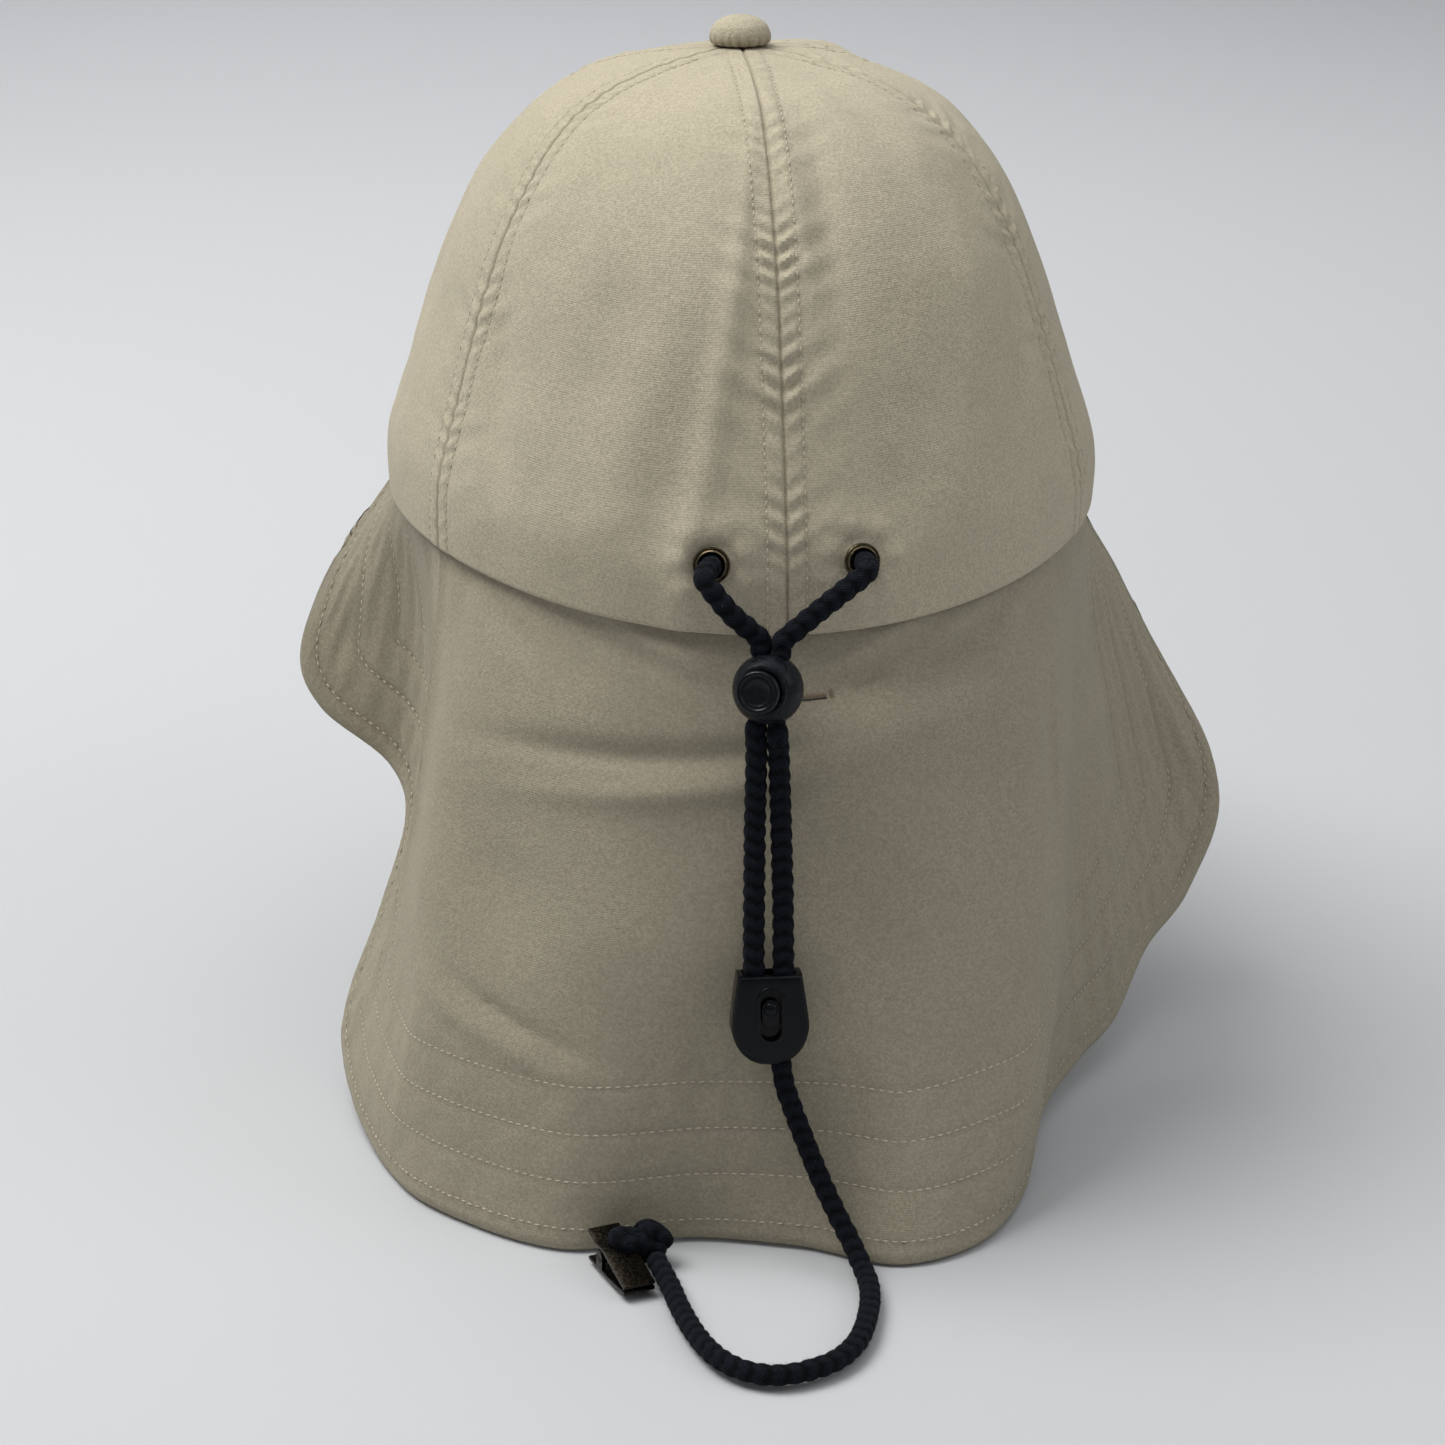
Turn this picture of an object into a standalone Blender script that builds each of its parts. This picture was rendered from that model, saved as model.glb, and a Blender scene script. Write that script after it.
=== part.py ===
# Legionnaire cap: six crown panels, a stiff peak, a long neck flap, and a drawcord with its lock and leash.
# Metres, +Z up. The origin is the centre of the head opening, and the back of the cap faces -Y.
import math

import bmesh
import bpy
from mathutils import Matrix, Vector

# Crown, flap and peak
crown_half_width = 0.0875
crown_half_length = 0.103
crown_height = 0.112
crown_cloth = 0.0014
flap_cloth = 0.0012
flap_gap = 0.0006
flap_drop = 0.138
flap_half_turn = math.radians(112)
flap_tuck = 0.009
flap_fall = 0.0015
flap_straight_share = 0.035
rim_dip = 0.0015
rim_lift = 0.009
side_seam_turn = math.radians(61)
front_seam_turn = math.radians(119)
panel_swell = 0.0016
apex_hole_radius = 0.0024
clearance = 0.0003
peak_length = 0.070
peak_thickness = 0.003
peak_half_turn = math.radians(64)
peak_fall = 0.014
peak_arch = 0.017
peak_roundness = 0.62
peak_flare = 0.10

# Button on the apex
button_radius = 0.00725
button_height = 0.0068
button_shank_radius = 0.0018
button_foot_share = 0.90
button_side_share = 0.22
button_roundness = 0.45

# Eyelets and the casing that holds the cord between them and the side seams
eyelet_spacing = 0.0335
eyelet_rise = 0.0158
eyelet_flange_radius = 0.0041
eyelet_flange_thickness = 0.0008
eyelet_bore_radius = 0.0028
eyelet_barrel_wall = 0.0004
eyelet_seat = 0.0008
casing_cloth = 0.001
casing_height = 0.027
casing_rise = 0.002
casing_slack = 0.0016
cord_clearance = 0.0005
casing_swell = 0.0028
casing_swell_turn = math.radians(8)

# Cords
cord_radius = 0.0023
cord_sides_resolution = 2
eyelet_exit = 0.0022
clip_entry = 0.009
strand_step = 0.0055
leash_step = 0.0095

# Ball lock and its button
lock_centre = Vector((-0.0058, -0.1145, -0.0086))
lock_radius = 0.0077
lock_yaw = math.radians(20)
lock_tilt = math.radians(13)
lock_flat = 0.0062
lock_button_radius = 0.0047
lock_stem_radius = 0.0041
lock_button_thickness = 0.0019
lock_travel = 0.0020
lock_cord_depth = -0.0009
lock_web = 0.0010

# Flat clip and its slider
clip_centre = Vector((-0.0059, -0.1206, -0.0824))
clip_height = 0.0204
clip_top_width = 0.0141
clip_width = 0.0171
clip_thickness = 0.0074
clip_edge = 0.0009
clip_swell = 0.0002
clip_lean = math.radians(-7)
clip_mouth_width = 0.0118
clip_mouth_depth = 0.0036
clip_strand_offset = 0.00325
clip_slot_width = 0.0047
clip_slot_length = 0.0116
clip_slot_depth = 0.0016
clip_slot_rise = 0.0012
clip_leash_offset = 0.0022
clip_leash_depth = 0.0032
slider_length = 0.0066
slider_thickness = 0.0012
slider_bump_radius = 0.0016
slider_drop = 0.0022
slider_edge = 0.0003
slider_bump_drop = 0.0022
slider_bump_flatness = 0.65

# Sprung jaw clip at the end of the leash
jaw_pivot = Vector((-0.0411, -0.1294, -0.1340))
jaw_heading = math.radians(19)
jaw_width = 0.0074
jaw_plate = 0.0009
jaw_mouth_reach = 0.0140
jaw_tail_reach = 0.0062
jaw_tail_spread = 0.0036
jaw_base_drop = 0.0032
jaw_pin_radius = 0.0007
jaw_lug_radius = 0.0016
jaw_lug_wall = 0.0008
jaw_pad_reach = 0.0018
jaw_bite_rise = 0.0013
jaw_flat_share = 0.30
jaw_bend_share = 0.80
lug_taper = 0.99
knot_centre = Vector((-0.0332, -0.1262, -0.1335))
knot_radius = 0.0046

# Height of the crown as it climbs from the rim to the apex in equal steps:
# rise is a share of crown_height, spread a share of the rim's half width, front the same over the forehead.
crown_levels = [
    # rise, spread, front
    (0.000, 0.972, 0.970),
    (0.140, 0.972, 0.950),
    (0.280, 0.925, 0.890),
    (0.415, 0.872, 0.833),
    (0.545, 0.820, 0.780),
    (0.665, 0.756, 0.718),
    (0.780, 0.662, 0.634),
    (0.870, 0.556, 0.540),
    (0.935, 0.418, 0.410),
    (0.980, 0.228, 0.225),
    (1.000, 0.020, 0.020),
]

# The flap from its front left corner, round the back, to its front right corner. turn is a share of
# flap_half_turn. The free edge and the waist, half-way down, are shares of the crown's half width and
# half length, and drop is a share of flap_drop.
flap_folds = [
    # turn, edge_side, edge_back, drop, waist_side, waist_back
    (-1.000, -0.935, -0.360, 0.000, -0.925, -0.364),
    (-0.946, -1.075, -0.262, 0.138, -0.990, -0.291),
    (-0.884, -1.235, -0.175, 0.281, -1.085, -0.194),
    (-0.821, -1.174, -0.107, 0.365, -1.063, -0.117),
    (-0.759, -1.001, -0.039, 0.472, -0.926, -0.019),
    (-0.696, -0.961, 0.039, 0.567, -0.869, 0.136),
    (-0.625, -1.040, 0.117, 0.707, -0.869, 0.291),
    (-0.554, -1.153, 0.209, 0.928, -0.926, 0.485),
    (-0.473, -1.078, 0.617, 1.000, -0.926, 0.718),
    (-0.375, -0.915, 0.934, 1.000, -0.777, 0.893),
    (-0.223, -0.602, 1.160, 1.000, -0.491, 1.049),
    (-0.071, -0.260, 1.126, 1.000, -0.171, 1.087),
    (0.071, 0.000, 1.183, 1.000, 0.137, 1.097),
    (0.205, 0.253, 1.297, 1.000, 0.411, 1.049),
    (0.321, 0.489, 1.206, 1.000, 0.640, 0.922),
    (0.420, 0.632, 0.991, 1.000, 0.766, 0.757),
    (0.509, 0.717, 0.771, 0.971, 0.823, 0.583),
    (0.589, 0.883, 0.485, 0.951, 0.869, 0.408),
    (0.670, 1.049, 0.291, 0.923, 0.960, 0.252),
    (0.750, 1.183, 0.117, 0.843, 1.051, 0.078),
    (0.821, 1.342, -0.019, 0.768, 1.143, -0.058),
    (0.893, 1.456, -0.136, 0.614, 1.189, -0.165),
    (0.946, 1.345, -0.233, 0.430, 1.131, -0.262),
    (1.000, 0.960, -0.360, 0.000, 0.948, -0.364),
]

# The casing strip from its lower edge up: height is a share of casing_height, and pocket says how far
# the strip stands off its seam line, as a share of the cord's pocket.
casing_levels = [
    # height, pocket
    (0.00, 0.22),
    (0.20, 0.22),
    (0.32, 0.70),
    (0.42, 1.00),
    (0.58, 1.00),
    (0.74, 1.00),
    (0.86, 0.50),
    (0.94, 0.00),
    (1.00, 0.00),
]

# How the two strands close up towards the lock's middle: reach is the way along the channel as a share of
# lock_radius, cord the cord's size there and apart its distance from the middle, as shares of cord_radius.
lock_squeeze = [
    # reach, cord, apart
    (0.45, 0.58, 0.63),
    (0.80, 0.80, 0.83),
    (1.05, 0.95, 0.98),
    (1.35, 1.00, 1.10),
]

# Routes of the free cords, chosen by hand. A strand falls from its eyelet to the lock and hangs from the
# lock to the flat clip, and its ends and its way through the lock come from those pieces.
strand_left_fall = [
    (-0.0188, -0.1072, 0.0143),
    (-0.0163, -0.1094, 0.0108),
    (-0.0128, -0.1105, 0.0067),
]
strand_left_hang = [
    (-0.0083, -0.1152, -0.0222),
    (-0.0086, -0.1151, -0.0400),
    (-0.0089, -0.1169, -0.0560),
]
strand_right_fall = [
    (0.0164, -0.1075, 0.0150),
    (0.0118, -0.1103, 0.0122),
    (0.0058, -0.1117, 0.0080),
    (0.0012, -0.1122, 0.0044),
]
strand_right_hang = [
    (-0.0036, -0.1158, -0.0222),
    (-0.0029, -0.1154, -0.0400),
    (-0.0026, -0.1169, -0.0560),
]
leash_route = [
    (-0.0037, -0.1215, -0.0897),
    (-0.0033, -0.1220, -0.0935),
    (-0.0025, -0.1226, -0.0985),
    (-0.0009, -0.1231, -0.1036),
    (0.0017, -0.1242, -0.1109),
    (0.0050, -0.1264, -0.1195),
    (0.0083, -0.1298, -0.1266),
    (0.0110, -0.1340, -0.1316),
    (0.0128, -0.1395, -0.1350),
    (0.0133, -0.1465, -0.1357),
    (0.0120, -0.1563, -0.1357),
    (0.0084, -0.1687, -0.1357),
    (0.0030, -0.1772, -0.1357),
    (-0.0047, -0.1820, -0.1357),
    (-0.0126, -0.1830, -0.1357),
    (-0.0197, -0.1787, -0.1357),
    (-0.0246, -0.1700, -0.1357),
    (-0.0280, -0.1562, -0.1357),
    (-0.0298, -0.1436, -0.1355),
    (-0.0312, -0.1362, -0.1350),
    (-0.0324, -0.1312, -0.1343),
]

# The held cord from its eyelet to the side seam: along is a share of the way round, inward a share of
# the pocket's depth there.
held_route = [
    # along, inward
    (0.000, 0.35),
    (0.030, 0.78),
    (0.075, 1.00),
    (0.150, 1.00),
    (0.300, 1.00),
    (0.500, 1.00),
    (0.700, 1.00),
    (0.860, 1.00),
    (0.970, 1.00),
]


def clear_scene():
    for obj in list(bpy.data.objects):
        bpy.data.objects.remove(obj)


def material(name, colour, roughness, metallic=0.0):
    made = bpy.data.materials.new(name)
    made.use_nodes = True
    shader = made.node_tree.nodes["Principled BSDF"]
    shader.inputs["Base Color"].default_value = (*colour, 1.0)
    shader.inputs["Roughness"].default_value = roughness
    shader.inputs["Metallic"].default_value = metallic
    return made


def add_object(name, mesh, finish):
    obj = bpy.data.objects.new(name, mesh)
    mesh.materials.append(finish)
    bpy.context.scene.collection.objects.link(obj)
    return obj


def finish_mesh(bm, name, smooth=True):
    mesh = bpy.data.meshes.new(name)
    bm.normal_update()
    bm.to_mesh(mesh)
    bm.free()
    if smooth:
        mesh.shade_smooth()
        mesh.set_sharp_from_angle(angle=math.radians(40))
    return mesh


def smooth_row(rows, t):
    """The columns of a table at t, from 0 at its first row to 1 at its last, on a smooth curve."""
    span = t * (len(rows) - 1)
    i = min(max(int(span), 0), len(rows) - 2)
    f = span - i
    before = rows[max(i - 1, 0)]
    after = rows[min(i + 2, len(rows) - 1)]
    values = []
    for a, b, c, d in zip(before, rows[i], rows[i + 1], after):
        values.append(b + 0.5 * f * (c - a + f * (2 * a - 5 * b + 4 * c - d + f * (3 * (b - c) + d - a))))
    return values


def smooth_points(points, step):
    """Points about a step apart on a smooth curve through the given ones, with both ends kept."""
    points = [Vector(point) for point in points]
    per_span = 24
    count = per_span * (len(points) - 1)
    fine = [Vector(smooth_row(points, i / count)) for i in range(count + 1)]
    lengths = [0.0]
    for a, b in zip(fine, fine[1:]):
        lengths.append(lengths[-1] + (b - a).length)
    steps = max(2, round(lengths[-1] / step))
    found = []
    i = 0
    for k in range(steps + 1):
        want = lengths[-1] * k / steps
        while i < len(fine) - 2 and lengths[i + 1] < want:
            i += 1
        share = (want - lengths[i]) / max(lengths[i + 1] - lengths[i], 1e-9)
        found.append(fine[i].lerp(fine[i + 1], share))
    return found


def rim_height(turn):
    """The crown's lower edge: lowest at the centre back, and level over the front half."""
    return rim_lift * math.sin(min(abs(turn), math.pi / 2)) ** 2 - rim_dip


def crown_outside(turn, climb):
    """A point on the crown's outer face. turn is the angle from the centre back, positive towards +X."""
    rise, spread, front = smooth_row(crown_levels, climb)
    ahead = 0.5 - 0.5 * math.cos(turn)
    spread += (front - spread) * ahead
    seams = (0.0, side_seam_turn, front_seam_turn, math.pi)
    size = min(abs(turn), math.pi)
    for low, high in zip(seams, seams[1:]):
        if low <= size <= high:
            swell = math.sin(math.pi * (size - low) / (high - low)) * math.sin(math.pi * min(climb, 1.0))
    low = rim_height(turn)
    side = crown_half_width * spread + panel_swell * swell
    back = crown_half_length * spread + panel_swell * swell
    return Vector((side * math.sin(turn), -back * math.cos(turn), low + (crown_height - low) * rise))


def crown_normal(turn, climb):
    step = 1e-3
    up = min(climb + step, 1.0)
    down = max(climb - step, 0.0)
    along = crown_outside(turn + step, climb) - crown_outside(turn - step, climb)
    above = crown_outside(turn, up) - crown_outside(turn, down)
    return along.cross(above).normalized()


def crown_point(turn, climb, depth=0.0):
    """A point that far in from the crown's outer face."""
    return crown_outside(turn, climb) - depth * crown_normal(turn, climb)


def climb_at(turn, height):
    """How far the crown has climbed at this height over its rim."""
    low, high = 0.0, 1.0
    wanted = rim_height(turn) + height
    for _ in range(24):
        middle = 0.5 * (low + high)
        if crown_outside(turn, middle).z < wanted:
            low = middle
        else:
            high = middle
    return 0.5 * (low + high)


def cloth_sheet(name, across, along, place, thickness, finish):
    """A wall of cloth whose outer face is a grid laid on place(u, v), with u across and v up."""
    bm = bmesh.new()
    bmesh.ops.create_grid(bm, x_segments=across, y_segments=along, size=0.5)
    for vert in bm.verts:
        vert.co = place(vert.co.x + 0.5, vert.co.y + 0.5)
    obj = add_object(name, finish_mesh(bm, name), finish)
    wall = obj.modifiers.new("cloth", "SOLIDIFY")
    wall.thickness = thickness
    wall.offset = -1
    wall.use_even_offset = False
    return obj


def move_extruded(bm, made, by):
    """Moves the points that an extrusion made."""
    verts = [part for part in made["geom"] if isinstance(part, bmesh.types.BMVert)]
    bmesh.ops.translate(bm, vec=by, verts=verts)


def cutter_object(name, bm):
    mesh = finish_mesh(bm, name, smooth=False)
    obj = bpy.data.objects.new(name, mesh)
    obj.hide_render = True
    obj.display_type = "WIRE"
    bpy.context.scene.collection.objects.link(obj)
    return obj


def cut(obj, cutter):
    modifier = obj.modifiers.new(cutter.name, "BOOLEAN")
    modifier.operation = "DIFFERENCE"
    modifier.solver = "EXACT"
    modifier.object = cutter


def join(obj, other):
    modifier = obj.modifiers.new(other.name, "BOOLEAN")
    modifier.operation = "UNION"
    modifier.solver = "EXACT"
    modifier.object = other


def turned(name, profile, steps, place, finish, closed=False):
    """A shape turned about its own Z. The profile's rows are radius and height."""
    bm = bmesh.new()
    verts = [bm.verts.new((radius, 0.0, height)) for radius, height in profile]
    edges = [bm.edges.new(pair) for pair in zip(verts, verts[1:])]
    if closed:
        edges.append(bm.edges.new((verts[-1], verts[0])))
    around = {"axis": (0, 0, 1), "cent": (0, 0, 0), "angle": 2 * math.pi, "steps": steps}
    bmesh.ops.spin(bm, geom=verts + edges, use_merge=True, **around)
    bmesh.ops.remove_doubles(bm, verts=bm.verts, dist=1e-6)
    bmesh.ops.recalc_face_normals(bm, faces=bm.faces)
    bmesh.ops.transform(bm, matrix=place, verts=bm.verts)
    return add_object(name, finish_mesh(bm, name), finish)


def frame_along(out, up, at):
    """A placement at a point, with its Z along out and its Y as near up as that allows."""
    z = Vector(out).normalized()
    x = Vector(up).cross(z).normalized()
    y = z.cross(x)
    return Matrix.Translation(at) @ Matrix((x, y, z)).transposed().to_4x4()


def cord_object(name, points, finish, sizes=None):
    """A round cord on a poly curve. sizes holds each point's share of the cord's radius."""
    curve = bpy.data.curves.new(name, "CURVE")
    curve.dimensions = "3D"
    curve.bevel_depth = cord_radius
    curve.bevel_resolution = cord_sides_resolution
    curve.use_fill_caps = True
    curve.twist_mode = "MINIMUM"
    spline = curve.splines.new("POLY")
    spline.points.add(len(points) - 1)
    for i, point in enumerate(points):
        spline.points[i].co = (*point, 1.0)
        spline.points[i].radius = sizes[i] if sizes else 1.0
    return add_object(name, curve, finish)


def lock_frame():
    """The lock's own axes: Z runs out along its button, and Y runs up along the cords."""
    out = Vector(
        (
            -math.sin(lock_yaw) * math.cos(lock_tilt),
            -math.cos(lock_yaw) * math.cos(lock_tilt),
            math.sin(lock_tilt),
        )
    )
    return frame_along(out, (0, 0, 1), lock_centre)


def eyelet_turn():
    return math.asin(0.5 * eyelet_spacing / crown_half_width)


def eyelet_frame(side):
    turn = side * eyelet_turn()
    climb = climb_at(turn, eyelet_rise)
    return frame_along(crown_normal(turn, climb), (0, 0, 1), crown_outside(turn, climb))


def build_crown(cloth):
    rows = [
        # name, first seam, last seam
        ("crown_panel_back_left", -side_seam_turn, 0.0),
        ("crown_panel_back_right", 0.0, side_seam_turn),
        ("crown_panel_side_left", -front_seam_turn, -side_seam_turn),
        ("crown_panel_side_right", side_seam_turn, front_seam_turn),
        ("crown_panel_front_left", -math.pi, -front_seam_turn),
        ("crown_panel_front_right", front_seam_turn, math.pi),
    ]
    top = climb_for_radius(apex_hole_radius)
    panels = {}
    for name, first, last in rows:

        def place(u, v, first=first, last=last):
            climb = top * v
            middle = crown_outside(0.5 * (first + last), climb)
            inset = 0.5 * clearance / math.hypot(middle.x, middle.y)
            return crown_outside(first + inset + (last - first - 2 * inset) * u, climb)

        panels[name] = cloth_sheet(name, 10, 11, place, crown_cloth, cloth)
    for side, name in ((-1, "crown_panel_back_left"), (1, "crown_panel_back_right")):
        bm = bmesh.new()
        bmesh.ops.create_cone(
            bm,
            cap_ends=True,
            segments=16,
            radius1=eyelet_bore_radius + eyelet_barrel_wall + clearance,
            radius2=eyelet_bore_radius + eyelet_barrel_wall + clearance,
            depth=6 * crown_cloth,
        )
        bmesh.ops.transform(bm, matrix=eyelet_frame(side), verts=bm.verts)
        cut(panels[name], cutter_object(name + "_hole", bm))


def climb_for_radius(radius):
    """How far the crown has climbed where it closes to this radius."""
    low, high = 0.5, 1.0
    for _ in range(30):
        middle = 0.5 * (low + high)
        if abs(crown_outside(0.0, middle).y) > radius:
            low = middle
        else:
            high = middle
    return low


def build_button(cloth):
    base = crown_height + clearance
    shank_end = crown_height - 2 * crown_cloth
    dome = 6
    profile = [(0.0, shank_end), (button_shank_radius, shank_end), (button_shank_radius, base)]
    profile.append((button_foot_share * button_radius, base))
    for i in range(dome + 1):
        angle = 0.5 * math.pi * i / dome
        radius = button_radius * math.cos(angle) ** button_roundness
        height = base + button_height * (button_side_share + (1 - button_side_share) * math.sin(angle))
        profile.append((radius if i < dome else 0.0, height))
    turned("crown_button", profile, 20, Matrix(), cloth)


def build_peak(cloth):
    def place(u, v):
        turn = math.pi - peak_half_turn * (2 * u - 1)
        root = crown_outside(turn, 0.0)
        root -= crown_cloth * Vector((root.x, root.y, 0.0)).normalized()
        reach = peak_length * math.cos(0.5 * math.pi * (2 * u - 1)) ** peak_roundness
        tip = root + Vector((peak_flare * root.x, reach, 0.0))
        point = root.lerp(tip, v)
        across = point.x / crown_half_width
        point.z = rim_height(turn) - clearance
        point.z -= v * (peak_fall * reach / peak_length + peak_arch * across * across)
        return point

    cloth_sheet("peak", 20, 6, place, peak_thickness, cloth)


def flap_point(share, level):
    """The flap's outer face. share is 0 at its front left corner and 1 at its right. level is -1 along the
    strip's top edge inside the crown, 0 at the crown's lower edge and 1 along the free edge."""
    turn_share, side, back, drop, waist_side, waist_back = smooth_row(flap_folds, share)
    turn = turn_share * flap_half_turn
    depth = crown_cloth + flap_gap
    if level < 0:
        return crown_point(turn, climb_at(turn, -level * flap_tuck), depth)
    top = crown_point(turn, 0.0, depth)
    top.z -= flap_fall * min(level / flap_straight_share, 1.0)
    t = max(level - flap_straight_share, 0.0) / (1 - flap_straight_share)
    edge = Vector((side * crown_half_width, -back * crown_half_length, -drop * flap_drop))
    waist = Vector((waist_side * crown_half_width, -waist_back * crown_half_length, 0.5 * (top.z + edge.z)))
    return top * (1 - t) * (1 - 2 * t) + waist * 4 * t * (1 - t) + edge * t * (2 * t - 1)


def build_flap(cloth):
    rows = 11
    levels = [-1.0, 0.0]
    straight = flap_straight_share
    levels += [straight + (1 - straight) * i / (rows - 2) for i in range(rows - 1)]

    def place(u, v):
        return flap_point(u, levels[round((1 - v) * rows)])

    cloth_sheet("neck_flap", 52, rows, place, flap_cloth, cloth)


def pocket_depth(turn):
    """How far in the cord's pocket reaches from the crown's outer face. It is deepest at the eyelets."""
    away = (abs(turn) - eyelet_turn()) / casing_swell_turn
    return crown_cloth + 2 * cord_radius + casing_slack + casing_swell * math.exp(-away * away)


def build_casing(cloth):
    start = crown_cloth + clearance
    low = crown_cloth + flap_gap + flap_cloth + clearance

    def place(u, v):
        turn = side_seam_turn * (2 * u - 1)
        height, pocket = smooth_row(casing_levels, v)
        depth = start + (pocket_depth(turn) - start) * max(pocket, 0.0)
        if height * casing_height < flap_tuck + clearance:
            depth = max(depth, low)
        climb = climb_at(turn, casing_rise + height * casing_height)
        return crown_point(turn, climb, depth)

    cloth_sheet("cord_casing", 24, 8, place, casing_cloth, cloth)


def build_eyelets(brass):
    outer = clearance + eyelet_flange_thickness
    inner = crown_cloth + eyelet_seat + eyelet_flange_thickness
    barrel = eyelet_bore_radius + eyelet_barrel_wall
    round_in = 0.35 * eyelet_flange_thickness
    profile = [
        (eyelet_bore_radius, -inner + round_in),
        (eyelet_bore_radius, outer - round_in),
        (eyelet_bore_radius + round_in, outer),
        (eyelet_flange_radius - round_in, outer),
        (eyelet_flange_radius, outer - 1.6 * round_in),
        (eyelet_flange_radius - 0.2 * round_in, clearance),
        (barrel, clearance),
        (barrel, -crown_cloth - eyelet_seat),
        (eyelet_flange_radius - round_in, -crown_cloth - eyelet_seat),
        (eyelet_flange_radius - round_in, -inner + round_in),
        (eyelet_bore_radius + round_in, -inner),
    ]
    for side, name in ((-1, "eyelet_left"), (1, "eyelet_right")):
        turned(name, profile, 14, eyelet_frame(side), brass, closed=True)


def build_held_cords(cord):
    near = crown_cloth + eyelet_flange_thickness
    for side, name in ((-1, "drawcord_inner_left"), (1, "drawcord_inner_right")):
        first = eyelet_turn()
        start = eyelet_frame(side) @ Vector((0, 0, -near))
        points = []
        for along, inward in held_route:
            turn = side * (first + (side_seam_turn - first) * along)
            far = pocket_depth(turn) - cord_clearance - cord_radius
            points.append(crown_point(turn, climb_at(turn, eyelet_rise), near + (far - near) * inward))
        cord_object(name, [start] + smooth_points(points, strand_step), cord)


def build_drawcords(cord):
    rows = [
        (-1, "drawcord_left", strand_left_fall, strand_left_hang),
        (1, "drawcord_right", strand_right_fall, strand_right_hang),
    ]
    for side, name, fall, hang in rows:
        eyelet = eyelet_frame(side)
        lock = lock_frame()
        clip = clip_frame()
        start = [eyelet @ Vector((0, 0, -crown_cloth - 0.5 * clearance)), eyelet @ Vector((0, 0, eyelet_exit))]
        through = []
        for reach, share, apart in lock_squeeze:
            place = Vector((side * apart * cord_radius, reach * lock_radius, lock_cord_depth))
            through.append((lock @ place, share))
        below = []
        for reach, share, apart in lock_squeeze:
            place = Vector((side * apart * cord_radius, -reach * lock_radius, lock_cord_depth))
            below.append((lock @ place, share))
        end = 0.5 * clip_height - clip_mouth_depth + 2 * clearance
        finish = [clip @ Vector((side * clip_strand_offset, y, 0)) for y in (end + clip_entry, end)]
        upper = smooth_points(start + [Vector(point) for point in fall] + [through[-1][0]], strand_step)
        lower = smooth_points([below[-1][0]] + [Vector(point) for point in hang] + finish, strand_step)
        middle = list(reversed(through[:-1])) + below[:-1]
        points = upper + [point for point, _ in middle] + lower
        sizes = [1.0] * len(upper) + [share for _, share in middle] + [1.0] * len(lower)
        cord_object(name, points, cord, sizes)


def stadium(bm, half_width, half_depth, height, sides=16):
    """One ring of a slot's outline in the plane of its own X and Z, at this Y."""
    verts = []
    for i in range(sides):
        angle = 2 * math.pi * (i + 0.5) / sides
        x = half_depth * math.cos(angle)
        x += math.copysign(half_width - half_depth, x)
        verts.append(bm.verts.new((x, height, lock_cord_depth + half_depth * math.sin(angle))))
    return verts


def channel_size(share, apart):
    """Half the width and depth of the lock's channel round two strands of this size."""
    return (apart + share) * cord_radius + 2 * clearance, share * cord_radius + 2 * clearance


def build_lock(plastic):
    place = lock_frame()
    bm = bmesh.new()
    bmesh.ops.create_uvsphere(bm, u_segments=20, v_segments=12, radius=lock_radius)
    bmesh.ops.bisect_plane(
        bm,
        geom=bm.verts[:] + bm.edges[:] + bm.faces[:],
        plane_co=(0, 0, lock_flat),
        plane_no=(0, 0, 1),
        clear_outer=True,
    )
    rim = [edge for edge in bm.edges if edge.is_boundary]
    bmesh.ops.contextual_create(bm, geom=rim)
    bmesh.ops.recalc_face_normals(bm, faces=bm.faces)
    bmesh.ops.transform(bm, matrix=place, verts=bm.verts)
    ball = add_object("cord_lock", finish_mesh(bm, "cord_lock"), plastic)

    bm = bmesh.new()
    sections = []
    for reach, share, apart in lock_squeeze:
        sections.append((*channel_size(share, apart), reach * lock_radius))
    sections = [(width, depth, -height) for width, depth, height in reversed(sections)] + sections
    rings = [stadium(bm, *section) for section in sections]
    for low, high in zip(rings, rings[1:]):
        for i in range(len(low)):
            j = (i + 1) % len(low)
            bm.faces.new((low[i], low[j], high[j], high[i]))
    bm.faces.new(rings[0])
    bm.faces.new(rings[-1])
    bmesh.ops.recalc_face_normals(bm, faces=bm.faces)
    bmesh.ops.transform(bm, matrix=place, verts=bm.verts)
    cut(ball, cutter_object("cord_channel", bm))

    _, share, apart = lock_squeeze[0]
    depth = channel_size(share, apart)[1]
    end = lock_cord_depth - depth - lock_web - lock_travel - clearance
    length = lock_radius + clearance - end
    bm = bmesh.new()
    radius = lock_stem_radius + clearance
    bmesh.ops.create_cone(bm, cap_ends=True, segments=24, radius1=radius, radius2=radius, depth=length)
    bmesh.ops.transform(bm, matrix=place @ Matrix.Translation((0, 0, end + 0.5 * length)), verts=bm.verts)
    cut(ball, cutter_object("stem_bore", bm))


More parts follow.
